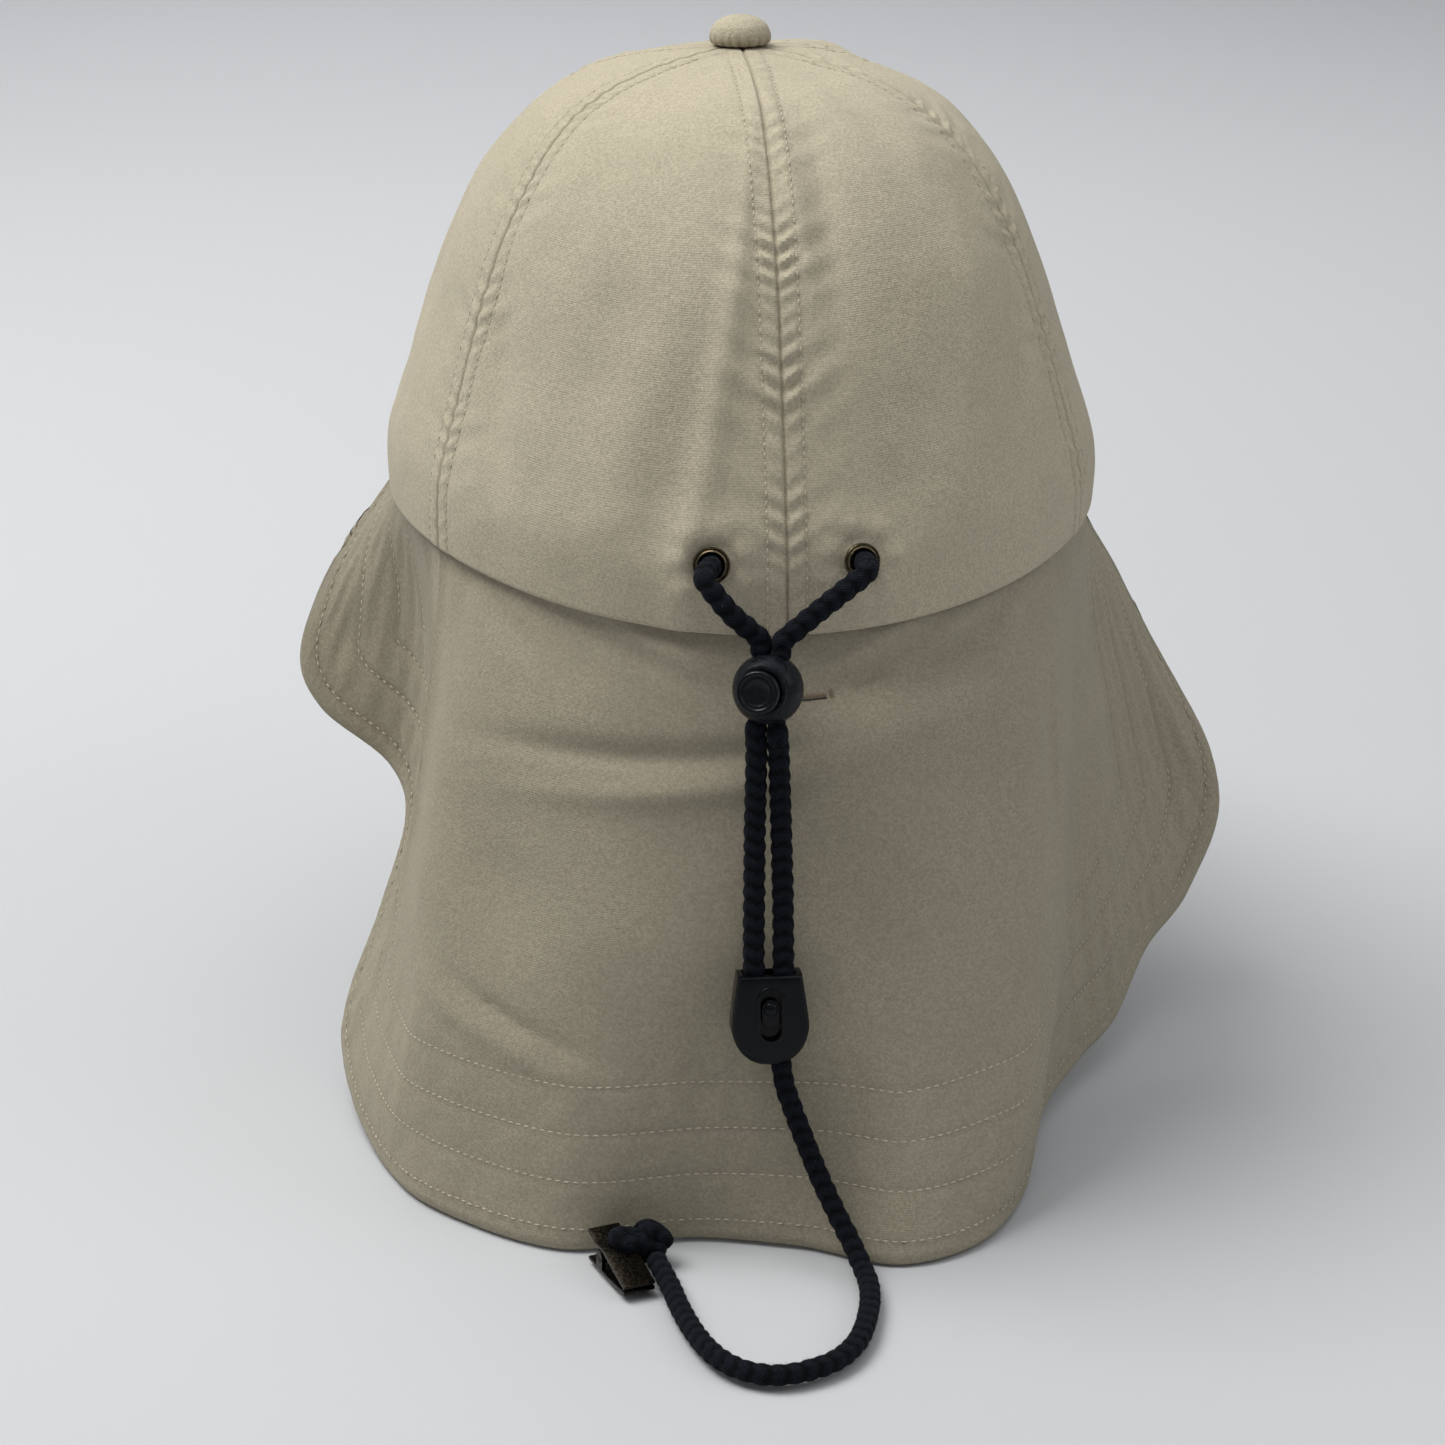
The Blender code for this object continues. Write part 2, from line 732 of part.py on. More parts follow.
def build_lock_button(plastic):
    place = lock_frame()
    _, share, apart = lock_squeeze[0]
    width, depth = channel_size(share, apart)
    end = lock_cord_depth - depth - lock_web
    head = lock_flat + lock_travel + clearance
    top = head + lock_button_thickness
    edge = 0.30 * lock_button_thickness
    profile = [
        (0.0, end),
        (lock_stem_radius, end),
        (lock_stem_radius, head),
        (lock_button_radius, head),
        (lock_button_radius, top - edge),
        (lock_button_radius - edge, top),
        (0.80 * lock_button_radius, top),
        (0.70 * lock_button_radius, top - 0.5 * edge),
        (0.35 * lock_button_radius, top - 0.9 * edge),
        (0.0, top - edge),
    ]
    button = turned("lock_button", profile, 20, place, plastic)
    low = lock_cord_depth - depth
    high = lock_cord_depth + depth + lock_travel
    bm = bmesh.new()
    bmesh.ops.create_cube(bm, size=1.0)
    size = Matrix.Diagonal((2 * width, 4 * lock_stem_radius, high - low, 1.0))
    bmesh.ops.transform(
        bm, matrix=place @ Matrix.Translation((0, 0, 0.5 * (low + high))) @ size, verts=bm.verts
    )
    cut(button, cutter_object("stem_window", bm))


def clip_frame():
    """The flat clip's own axes: X across, Y up, Z out of its front face."""
    return Matrix.Translation(clip_centre) @ Matrix.Rotation(0.5 * math.pi + clip_lean, 4, "X")


def clip_outline():
    """Half widths of the clip from its top to its round bottom, as shares of its sizes."""
    top = 0.5 * clip_top_width
    side = 0.5 * clip_width
    high = 0.5 * clip_height
    points = [(top, high), (0.5 * (top + side) + clip_swell, 0.35 * high), (side, -0.12 * high)]
    steps = 7
    for i in range(1, steps + 1):
        angle = 0.5 * math.pi * i / steps
        points.append((side * math.cos(angle) ** 0.9, -high * (0.12 + 0.88 * math.sin(angle))))
    return points[:-1] + [(0.0, -high)]


def slot_shape(half_width, half_length, low, high):
    """A flat piece with round ends, long in Y, from low to high in Z."""
    bm = bmesh.new()
    sides = 16
    verts = []
    for i in range(sides):
        angle = 2 * math.pi * (i + 0.5) / sides
        y = half_width * math.sin(angle)
        y += math.copysign(half_length - half_width, y)
        verts.append(bm.verts.new((half_width * math.cos(angle), y, low)))
    face = bm.faces.new(verts)
    move_extruded(bm, bmesh.ops.extrude_face_region(bm, geom=[face]), (0, 0, high - low))
    bmesh.ops.recalc_face_normals(bm, faces=bm.faces)
    return bm


def build_clip(plastic):
    place = clip_frame()
    half = clip_outline()
    outline = half + [(-x, y) for x, y in reversed(half[:-1])]
    bm = bmesh.new()
    face = bm.faces.new([bm.verts.new((x, y, -0.5 * clip_thickness)) for x, y in outline])
    move_extruded(bm, bmesh.ops.extrude_face_region(bm, geom=[face]), (0, 0, clip_thickness))
    bmesh.ops.recalc_face_normals(bm, faces=bm.faces)
    flat = [edge for edge in bm.edges if abs(edge.verts[0].co.z - edge.verts[1].co.z) < 1e-6]
    bmesh.ops.bevel(bm, geom=flat, offset=clip_edge, segments=2, profile=0.5, affect="EDGES", material=-1)
    bmesh.ops.transform(bm, matrix=place, verts=bm.verts)
    body = add_object("cord_clip", finish_mesh(bm, "cord_clip"), plastic)

    bm = bmesh.new()
    bmesh.ops.create_cube(bm, size=1.0)
    mouth = Matrix.Diagonal((clip_mouth_width, 2 * clip_mouth_depth, 2 * cord_radius + 2 * clearance, 1.0))
    bmesh.ops.transform(
        bm, matrix=place @ Matrix.Translation((0, 0.5 * clip_height, 0)) @ mouth, verts=bm.verts
    )
    cut(body, cutter_object("clip_mouth", bm))
    bm = bmesh.new()
    radius = cord_radius + clearance
    bmesh.ops.create_cone(
        bm, cap_ends=True, segments=16, radius1=radius, radius2=radius, depth=2 * clip_leash_depth
    )
    foot = place @ Matrix.Translation((clip_leash_offset, -0.5 * clip_height, 0))
    bmesh.ops.transform(bm, matrix=foot @ Matrix.Rotation(0.5 * math.pi, 4, "X"), verts=bm.verts)
    cut(body, cutter_object("clip_leash_hole", bm))
    low = 0.5 * clip_thickness - clip_slot_depth
    bm = slot_shape(0.5 * clip_slot_width, 0.5 * clip_slot_length, low, clip_thickness)
    bmesh.ops.transform(bm, matrix=place @ Matrix.Translation((0, clip_slot_rise, 0)), verts=bm.verts)
    cut(body, cutter_object("clip_slot", bm))


def build_slider(plastic):
    middle = clip_slot_rise + 0.5 * clip_slot_length - slider_drop - 0.5 * slider_length
    floor = 0.5 * clip_thickness - clip_slot_depth + clearance
    place = clip_frame() @ Matrix.Translation((0, middle, floor))
    half = 0.5 * clip_slot_width - clearance
    bm = slot_shape(half, 0.5 * slider_length, 0.0, slider_thickness)
    top = [edge for edge in bm.edges if min(vert.co.z for vert in edge.verts) > 0.5 * slider_thickness]
    bmesh.ops.bevel(bm, geom=top, offset=slider_edge, segments=1, profile=0.5, affect="EDGES", material=-1)
    bmesh.ops.transform(bm, matrix=place, verts=bm.verts)
    slider = add_object("clip_slider", finish_mesh(bm, "clip_slider"), plastic)
    bump = bmesh.new()
    bmesh.ops.create_uvsphere(bump, u_segments=12, v_segments=8, radius=slider_bump_radius)
    lift = Matrix.Translation((0, 0.5 * slider_length - slider_bump_drop, slider_thickness - slider_edge))
    flat = Matrix.Diagonal((1, 1, slider_bump_flatness, 1))
    bmesh.ops.transform(bump, matrix=place @ lift @ flat, verts=bump.verts)
    join(slider, cutter_object("slider_bump", bump))


def jaw_frame():
    """The jaw clip's own axes, at its pin: X across, Y towards the mouth, Z up."""
    return Matrix.Translation(jaw_pivot) @ Matrix.Rotation(math.pi + jaw_heading, 4, "Z")


def plate(name, outline, half_width, thickness, place, finish):
    """A bent plate: outline runs in the plane of Y and Z, and the plate is as wide as the jaw."""
    bm = bmesh.new()
    verts = [bm.verts.new((-half_width, y, z)) for y, z in outline]
    edges = [bm.edges.new(pair) for pair in zip(verts, verts[1:])]
    move_extruded(bm, bmesh.ops.extrude_edge_only(bm, edges=edges), (2 * half_width, 0, 0))
    bmesh.ops.transform(bm, matrix=place, verts=bm.verts)
    obj = add_object(name, finish_mesh(bm, name), finish)
    wall = obj.modifiers.new("plate", "SOLIDIFY")
    wall.thickness = thickness
    wall.offset = 0
    wall.use_even_offset = True
    return obj


def block(name, size, at, place):
    bm = bmesh.new()
    bmesh.ops.create_cube(bm, size=1.0)
    scale = Matrix.Diagonal((*size, 1.0))
    bmesh.ops.transform(bm, matrix=place @ Matrix.Translation(at) @ scale, verts=bm.verts)
    return cutter_object(name, bm)


def crosswise_rod(name, radius, length, at, place):
    """A rod along the jaw's pin."""
    bm = bmesh.new()
    bmesh.ops.create_cone(bm, cap_ends=True, segments=12, radius1=radius, radius2=radius, depth=length)
    turn = Matrix.Translation((at, 0, 0)) @ Matrix.Rotation(0.5 * math.pi, 4, "Y")
    bmesh.ops.transform(bm, matrix=place @ turn, verts=bm.verts)
    return cutter_object(name, bm)


def build_jaws(metal):
    place = jaw_frame()
    half = 0.5 * jaw_width
    seam = 0.5 * (jaw_plate + clearance)
    base = -jaw_base_drop
    roof = jaw_lug_radius + clearance + 0.5 * jaw_plate
    bite = base + jaw_bite_rise
    bend = jaw_bend_share * jaw_mouth_reach
    flat = jaw_flat_share * jaw_mouth_reach
    lower = [(-jaw_tail_reach, base), (flat, base), (bend, bite - jaw_plate), (jaw_mouth_reach, bite - seam)]
    upper = [(-jaw_tail_reach, jaw_tail_spread), (-jaw_pad_reach, roof), (jaw_pad_reach, roof)]
    upper += [(bend, bite + 1.5 * jaw_plate), (jaw_mouth_reach, bite + seam)]
    bottom = plate("jaw_lower", lower, half, jaw_plate, place, metal)
    top = plate("jaw_upper", upper, half, jaw_plate, place, metal)
    ear = half - 0.5 * jaw_lug_wall
    tab = ear - jaw_lug_wall - clearance
    join(bottom, crosswise_rod("pin", jaw_pin_radius, 2 * ear, 0, place))
    for side, name in ((-1, "left"), (1, "right")):
        for obj, at, end in ((bottom, side * ear, base), (top, side * tab, roof)):
            lug = name + "_" + obj.name
            join(obj, crosswise_rod("round_" + lug, jaw_lug_radius, jaw_lug_wall, at, place))
            size = (jaw_lug_wall, 2 * jaw_lug_radius * lug_taper, abs(end))
            join(obj, block("lug_" + lug, size, (at, 0, 0.5 * end), place))
    cut(top, crosswise_rod("pin_hole", jaw_pin_radius + clearance, 2 * ear, 0, place))


def build_knot(cord):
    bm = bmesh.new()
    bmesh.ops.create_icosphere(bm, subdivisions=2, radius=1.0)
    for vert in bm.verts:
        swirl = 1.0 + 0.10 * math.sin(3 * math.atan2(vert.co.y, vert.co.x) + 4 * vert.co.z)
        vert.co = Vector((vert.co.x * 0.88, vert.co.y, vert.co.z * 0.90)) * knot_radius * swirl
        vert.co += knot_centre
    add_object("leash_knot", finish_mesh(bm, "leash_knot"), cord)


def build_leash(cord):
    cord_object("leash_cord", smooth_points(leash_route, leash_step), cord)


def main():
    clear_scene()
    khaki = material("khaki_cloth", (0.40, 0.35, 0.26), 0.85)
    cord = material("braided_cord", (0.012, 0.014, 0.024), 0.9)
    slate = material("slate_plastic", (0.022, 0.026, 0.036), 0.5)
    gloss = material("gloss_plastic", (0.008, 0.010, 0.014), 0.25)
    brass = material("aged_brass", (0.36, 0.27, 0.13), 0.4, 1.0)
    bronze = material("dark_bronze", (0.09, 0.075, 0.045), 0.35, 1.0)
    build_crown(khaki)
    build_button(khaki)
    build_peak(khaki)
    build_flap(khaki)
    build_casing(khaki)
    build_eyelets(brass)
    build_held_cords(cord)
    build_drawcords(cord)
    build_lock(slate)
    build_lock_button(slate)
    build_clip(gloss)
    build_slider(gloss)
    build_leash(cord)
    build_knot(cord)
    build_jaws(bronze)


main()
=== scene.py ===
import math

import bmesh
import bpy
import numpy as np
from mathutils import Matrix, Vector, kdtree, noise


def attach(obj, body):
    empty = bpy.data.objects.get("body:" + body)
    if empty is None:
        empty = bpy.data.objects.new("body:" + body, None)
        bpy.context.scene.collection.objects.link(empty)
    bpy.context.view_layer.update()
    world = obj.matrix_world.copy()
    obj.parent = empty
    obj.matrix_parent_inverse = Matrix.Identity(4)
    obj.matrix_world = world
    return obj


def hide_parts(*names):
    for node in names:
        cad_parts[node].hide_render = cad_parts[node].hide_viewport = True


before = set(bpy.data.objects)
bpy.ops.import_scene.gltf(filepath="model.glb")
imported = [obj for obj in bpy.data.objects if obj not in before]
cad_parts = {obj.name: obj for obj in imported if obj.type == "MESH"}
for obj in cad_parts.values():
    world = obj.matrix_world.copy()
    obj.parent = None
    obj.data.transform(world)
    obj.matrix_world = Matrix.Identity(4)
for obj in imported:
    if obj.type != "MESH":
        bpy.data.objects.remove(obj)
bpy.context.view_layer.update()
print("frame loaded")

# camera first, then everything in metres in the cap's own frame
camera = {"place": (-0.0857, -0.8155, 0.228), "towards": (0.094, 0.94, -0.327), "lens": 86.5, "sensor": 36.0}

eye = bpy.data.cameras.new("photoCamera")
eye.lens = camera["lens"]
eye.sensor_width = camera["sensor"]
eye.clip_start = 0.02
eye.clip_end = 40.0
eyeObject = bpy.data.objects.new("photoCamera", eye)
bpy.context.scene.collection.objects.link(eyeObject)
eyeObject.location = camera["place"]
eyeObject.rotation_euler = Vector(camera["towards"]).to_track_quat("-Z", "Y").to_euler()
bpy.context.scene.camera = eyeObject


# nodes and finishes
def feed(tree, socket, value):
    # links a socket, or sets its number or colour
    if isinstance(value, bpy.types.NodeSocket):
        tree.links.new(value, socket)
    elif isinstance(value, tuple):
        socket.default_value = (*value, 1.0)
    else:
        socket.default_value = value


def mathNode(tree, operation, a, b=0.5, clamp=False):
    made = tree.nodes.new("ShaderNodeMath")
    made.operation = operation
    made.use_clamp = clamp
    feed(tree, made.inputs[0], a)
    feed(tree, made.inputs[1], b)
    return made.outputs[0]


def times(tree, a, b):
    return mathNode(tree, "MULTIPLY", a, b)


def plus(tree, a, b):
    return mathNode(tree, "ADD", a, b)


def wave(tree, value, turns=1.0):
    return mathNode(tree, "SINE", times(tree, value, 2 * math.pi * turns))


def noiseNode(tree, where, scale, detail=3.0, roughness=0.55, distortion=0.0):
    made = tree.nodes.new("ShaderNodeTexNoise")
    feed(tree, made.inputs["Vector"], where)
    feed(tree, made.inputs["Scale"], scale)
    feed(tree, made.inputs["Detail"], detail)
    feed(tree, made.inputs["Roughness"], roughness)
    feed(tree, made.inputs["Distortion"], distortion)
    return made.outputs["Fac"]


def mixColours(tree, factor, first, second):
    made = tree.nodes.new("ShaderNodeMix")
    made.data_type = "RGBA"
    made.clamp_factor = True
    for k, value in ((0, factor), (6, first), (7, second)):  # the node's own order
        feed(tree, made.inputs[k], value)
    return made.outputs[2]


def stretch(tree, value, low, high, newLow=0.0, newHigh=1.0):
    made = tree.nodes.new("ShaderNodeMapRange")
    made.clamp = True
    made.interpolation_type = "SMOOTHSTEP"
    feed(tree, made.inputs["Value"], value)
    for name, number in (("From Min", low), ("From Max", high), ("To Min", newLow), ("To Max", newHigh)):
        made.inputs[name].default_value = number
    return made.outputs["Result"]


def objectPlace(tree):
    return tree.nodes.new("ShaderNodeTexCoord").outputs["Object"]


def paintedShadePlaces(tree, share=1.0):
    # how much painted shade a point gets, from the piece's own attribute
    made = tree.nodes.new("ShaderNodeAttribute")
    made.attribute_name = "low"
    return mathNode(tree, "MULTIPLY", made.outputs["Fac"], share, True)


def newGroup(name, inputs, outputs):
    tree = bpy.data.node_groups.new(name, "ShaderNodeTree")
    for label, kind, value in inputs:
        socket = tree.interface.new_socket(name=label, in_out="INPUT", socket_type=kind)
        if value is not None:
            socket.default_value = value
    for label in outputs:
        tree.interface.new_socket(name=label, in_out="OUTPUT", socket_type="NodeSocketFloat")
    return tree, tree.nodes.new("NodeGroupInput").outputs, tree.nodes.new("NodeGroupOutput").inputs


def placeGroup(tree, group, **values):
    made = tree.nodes.new("ShaderNodeGroup")
    made.node_tree = group
    for key, value in values.items():
        feed(tree, made.inputs[key], value)
    return made.outputs


# woven, brushed cotton: thread height, light and dark fibres, and slow clouds of tone
weaveLook = {
    "threads": 1900.0, "slant": 0.5, "threadHeight": 0.45, "fleck": 1500.0, "fleckShare": 0.85, "nap": 620.0,
    "cloud": 75.0, "dark": 0.36, "light": 0.64,
}


def makeWeaveGroup():
    look = weaveLook
    inputs = [
        ("Cloth", "NodeSocketVector", None),
        ("Place", "NodeSocketVector", None),
        ("Threads", "NodeSocketFloat", look["threads"]),
        ("Fleck", "NodeSocketFloat", look["fleck"]),
    ]
    tree, given, made = newGroup("weave", inputs, ("Height", "Fibre", "Cloud"))
    split = tree.nodes.new("ShaderNodeSeparateXYZ")
    tree.links.new(given["Cloth"], split.inputs[0])
    across = times(tree, split.outputs[0], given["Threads"])
    upward = times(tree, split.outputs[1], given["Threads"])
    slant = plus(tree, across, times(tree, upward, look["slant"]))
    threads = times(tree, plus(tree, wave(tree, slant), wave(tree, upward)), 0.25)
    fine = noiseNode(tree, given["Place"], given["Fleck"], 4.0, 0.65)
    nap = noiseNode(tree, given["Place"], look["nap"], 3.0, 0.6)
    slow = noiseNode(tree, given["Place"], look["cloud"], 4.0, 0.6, 0.4)
    height = plus(tree, times(tree, threads, look["threadHeight"]), plus(tree, fine, nap))
    fibre = plus(tree, times(tree, fine, look["fleckShare"]), times(tree, nap, 1 - look["fleckShare"]))
    tree.links.new(height, made["Height"])
    tree.links.new(stretch(tree, fibre, look["dark"], look["light"]), made["Fibre"])
    tree.links.new(slow, made["Cloud"])
    return tree


# rubbed places and fine grain, for the hard pieces
wearLook = {"size": 700.0, "grain": 5200.0, "low": 0.42, "high": 0.62}


def makeWearGroup():
    look = wearLook
    inputs = [("Place", "NodeSocketVector", None), ("Size", "NodeSocketFloat", look["size"])]
    tree, given, made = newGroup("wear", inputs, ("Rub", "Grain"))
    coarse = noiseNode(tree, given["Place"], given["Size"], 5.0, 0.6, 0.3)
    fine = noiseNode(tree, given["Place"], look["grain"], 2.0, 0.5)
    tree.links.new(stretch(tree, coarse, look["low"], look["high"]), made["Rub"])
    tree.links.new(fine, made["Grain"])
    return tree


weaveGroup = makeWeaveGroup()
wearGroup = makeWearGroup()


def newFinish(name, look):
    made = bpy.data.materials.new(name)
    made.use_nodes = True
    shader = made.node_tree.nodes["Principled BSDF"]
    shader.inputs["Roughness"].default_value = look["roughness"]
    shader.inputs["Specular IOR Level"].default_value = look["specular"]
    shader.inputs["Metallic"].default_value = look.get("metallic", 0.0)
    shader.inputs["Sheen Weight"].default_value = look.get("sheen", 0.0)
    shader.inputs["Sheen Tint"].default_value = (*look.get("sheenTint", (1.0, 1.0, 1.0)), 1.0)
    shader.inputs["Coat Weight"].default_value = look.get("coat", 0.0)
    return made, made.node_tree, shader


def bumpInto(tree, shader, height, distance):
    made = tree.nodes.new("ShaderNodeBump")
    made.inputs["Strength"].default_value = 1.0
    made.inputs["Distance"].default_value = distance
    tree.links.new(height, made.inputs["Height"])
    tree.links.new(made.outputs["Normal"], shader.inputs["Normal"])


khakiLook = {
    # low is the colour of painted shade in seams, stitch rows, gathers and under the crown's rim
    "light": (0.530, 0.474, 0.352), "dark": (0.400, 0.356, 0.262), "cloud": (0.410, 0.372, 0.280),
    "low": (0.230, 0.200, 0.145), "mottle": 0.30, "bump": 0.00014,
    "roughness": 0.92, "specular": 0.20, "sheen": 0.10, "sheenTint": (0.95, 0.90, 0.80),
}


def makeCloth(name, tone=1.0):
    look = khakiLook
    made, tree, shader = newFinish(name, look)
    light, dark, cloud, low = (tuple(c * tone for c in look[key]) for key in ("light", "dark", "cloud", "low"))
    cloth = tree.nodes.new("ShaderNodeTexCoord").outputs["UV"]
    weave = placeGroup(tree, weaveGroup, Cloth=cloth, Place=objectPlace(tree), Threads=weaveLook["threads"])
    base = mixColours(tree, weave["Fibre"], dark, light)
    base = mixColours(tree, stretch(tree, weave["Cloud"], 0.35, 0.75, 0.0, look["mottle"]), base, cloud)
    # painted shade: the cloth darkens towards low where the piece's attribute says
    tree.links.new(mixColours(tree, paintedShadePlaces(tree), base, low), shader.inputs["Base Color"])
    bumpInto(tree, shader, weave["Height"], look["bump"])
    return made


threadLook = {"roughness": 0.75, "specular": 0.3, "sheen": 0.3, "twist": 2600.0, "bump": 0.00008}


def makeThread(name, light, dark):
    made, tree, shader = newFinish(name, threadLook)
    twist = noiseNode(tree, objectPlace(tree), threadLook["twist"], 2.0, 0.5)
    tree.links.new(mixColours(tree, twist, dark, light), shader.inputs["Base Color"])
    bumpInto(tree, shader, twist, threadLook["bump"])
    return made


# low is painted shade, the dark colour in the gaps between the strands
braidLook = {
    "dark": (0.0016, 0.0024, 0.0042), "light": (0.0095, 0.0125, 0.0195), "fleck": (0.045, 0.049, 0.058),
    "low": (0.0006, 0.0007, 0.0010), "gapShadeShare": 0.85, "fleckShare": 0.8,
    "plies": 5.0, "plyTone": 0.16, "plyHeight": 0.35, "hair": 3400.0, "dust": 1900.0, "bump": 0.00010,
    "roughness": 0.86, "specular": 0.10, "sheen": 0.03, "sheenTint": (0.6, 0.64, 0.75),
}


def makeBraid(name):
    look = braidLook
    made, tree, shader = newFinish(name, look)
    along = tree.nodes.new("ShaderNodeUVMap")
    along.uv_map = "ply"
    split = tree.nodes.new("ShaderNodeSeparateXYZ")
    tree.links.new(along.outputs["UV"], split.inputs[0])
    ply = wave(tree, split.outputs[0], look["plies"])
    place = objectPlace(tree)
    hair = noiseNode(tree, place, look["hair"], 3.0, 0.6)
    dust = noiseNode(tree, place, look["dust"], 2.0, 0.7)
    tone = plus(tree, times(tree, ply, look["plyTone"]), hair)
    base = mixColours(tree, stretch(tree, tone, 0.30, 0.75), look["dark"], look["light"])
    base = mixColours(tree, stretch(tree, dust, 0.66, 0.74, 0.0, look["fleckShare"]), base, look["fleck"])
    # painted shade in the gaps between the strands
    base = mixColours(tree, paintedShadePlaces(tree, look["gapShadeShare"]), base, look["low"])
    tree.links.new(base, shader.inputs["Base Color"])
    bumpInto(tree, shader, plus(tree, times(tree, ply, look["plyHeight"]), hair), look["bump"])
    return made


# hard finishes: size is that of the rubbed places, spread how far roughness varies over them
plasticLook = {"metallic": 0.0, "specular": 0.15, "grain": 0.00001}
metalLook = {"metallic": 1.0, "specular": 0.5, "grain": 0.00002, "coat": 0.0, "spread": 0.06}
hardLooks = {
    "slatePlastic": {
        **plasticLook, "dark": (0.0055, 0.0068, 0.0095), "light": (0.0080, 0.0096, 0.0130), "roughness": 0.38,
        "spread": 0.12, "coat": 0.0, "size": 900.0, "grain": 0.00002,
    },
    "discPlastic": {
        **plasticLook, "dark": (0.0022, 0.0036, 0.0050), "light": (0.0034, 0.0052, 0.0070), "roughness": 0.26,
        "spread": 0.06, "coat": 0.15, "size": 900.0,
    },
    "glossPlastic": {
        **plasticLook, "dark": (0.0012, 0.0018, 0.0026), "light": (0.0022, 0.0030, 0.0040), "roughness": 0.20,
        "spread": 0.05, "coat": 0.05, "size": 500.0,
    },
    "agedBrass": {
        **metalLook, "dark": (0.090, 0.070, 0.042), "light": (0.200, 0.160, 0.098), "roughness": 0.34, "size": 2400.0,
    },
    "darkBronze": {
        **metalLook, "dark": (0.018, 0.015, 0.012), "light": (0.030, 0.026, 0.020), "roughness": 0.30, "size": 1600.0,
    },
}


def makeHard(name, look):
    made, tree, shader = newFinish(name, look)
    shader.inputs["Coat Roughness"].default_value = 0.12
    wear = placeGroup(tree, wearGroup, Place=objectPlace(tree), Size=look["size"])
    tree.links.new(mixColours(tree, wear["Rub"], look["dark"], look["light"]), shader.inputs["Base Color"])
    smooth, dull = look["roughness"] - look["spread"], look["roughness"] + look["spread"]
    tree.links.new(stretch(tree, wear["Rub"], 0.0, 1.0, smooth, dull), shader.inputs["Roughness"])
    bumpInto(tree, shader, wear["Grain"], look["grain"])
    return made


khakiCloth = makeCloth("khakiCloth")
# the flap's cloth is the same khaki made darker, as painted shade
flapClothPaintedShade = makeCloth("flapClothPaintedShade", 0.73)
peakCloth = makeCloth("peakCloth", 0.97)
khakiThread = makeThread("khakiThread", (0.600, 0.540, 0.410), (0.420, 0.372, 0.275))
tanThread = makeThread("tanThread", (0.330, 0.250, 0.150), (0.180, 0.130, 0.075))
slitShade = makeThread("slitShade", (0.040, 0.034, 0.026), (0.016, 0.014, 0.011))
navyBraid = makeBraid("navyBraid")
hard = {name: makeHard(name, look) for name, look in hardLooks.items()}
print("finishes made")


# shared shapes
def smoothRows(rows, t):
    table = np.asarray(rows, float)
    span = np.clip(t, 0.0, 1.0) * (len(table) - 1)
    i = np.clip(span.astype(int), 0, len(table) - 2)
    f = (span - i)[:, None]
    a, b = table[np.maximum(i - 1, 0)], table[i]
    c, d = table[i + 1], table[np.minimum(i + 2, len(table) - 1)]
    return b + 0.5 * f * (c - a + f * (2 * a - 5 * b + 4 * c - d + f * (3 * (b - c) + d - a)))


def unit(vectors):
    return vectors / np.maximum(np.linalg.norm(vectors, axis=-1, keepdims=True), 1e-12)


def runAlong(points):
    # how far along its path each point lies, by the first three columns
    return np.concatenate([[0.0], np.cumsum(np.linalg.norm(np.diff(points[:, :3], axis=0), axis=1))])


def pathLength(points):
    return float(runAlong(points)[-1])


def evenPoints(points, step):
    # a smooth curve through the points, 24 places to a span and then evenly spaced
    return respaced(smoothRows(points, np.linspace(0.0, 1.0, 24 * (len(points) - 1) + 1)), step)


def respaced(fine, step):
    gone = runAlong(fine)
    want = np.linspace(0.0, gone[-1], max(2, round(gone[-1] / step)) + 1)
    return np.stack([np.interp(want, gone, fine[:, k]) for k in range(fine.shape[1])], axis=1)


def cloudy(points, size, seed=0.0):
    # slow noise from -1 to 1, with lumps of about this size
    return np.array([noise.noise(p) for p in (np.asarray(points) / size + seed).tolist()])
# painted shade: darker where the strands dip apart


def smoothStep(value, low, high):
    t = np.clip((value - low) / (high - low), 0.0, 1.0)
    return t * t * (3 - 2 * t)


def bell(value, middle, width):
    return np.exp(-(((value - middle) / width) ** 2))


def foldsAt(rows, along, height, sharp=False):
    # soft folds added up: place, height, half widths of both, lean and size in mm; a sharp one is a crease
    out = np.zeros_like(along)
    for middle, level, halfAlong, halfHeight, lean, size in rows:
        side = (along - middle - lean * (height - level)) / halfAlong
        across = np.abs(side) if sharp else side * side
        out += 0.001 * size * np.exp(-across - ((height - level) / halfHeight) ** 2)
    return out


def slowCloth(points, clouds):
    # slow unevenness of a cloth: size in metres, lump and seed of each noise
    return sum(size * cloudy(points, lump, seed) for size, lump, seed in clouds)


def normalsOf(at, u, v, uEnds, vEnds, flip=1.0):
    # outward normals of at(u, v), by a small step each way
    step = 1e-3
    along = at(np.minimum(u + step, uEnds[1]), v) - at(np.maximum(u - step, uEnds[0]), v)
    above = at(u, np.minimum(v + step, vEnds[1])) - at(u, np.maximum(v - step, vEnds[0]))
    return unit(np.cross(along, flip * above))


def addPiece(name, mesh, finish, body, *nodes, slotName=None):
    obj = bpy.data.objects.new(name, mesh)
    mesh.materials.clear()
    mesh.materials.append(finish)
    bpy.context.scene.collection.objects.link(obj)
    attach(obj, body)
    if nodes:
        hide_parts(*nodes)
    return obj


def meshFrom(bm, name, angle=40.0):
    mesh = bpy.data.meshes.new(name)
    bm.normal_update()
    bm.to_mesh(mesh)
    bm.free()
    mesh.shade_smooth()
    mesh.set_sharp_from_angle(angle=math.radians(angle))
    return mesh


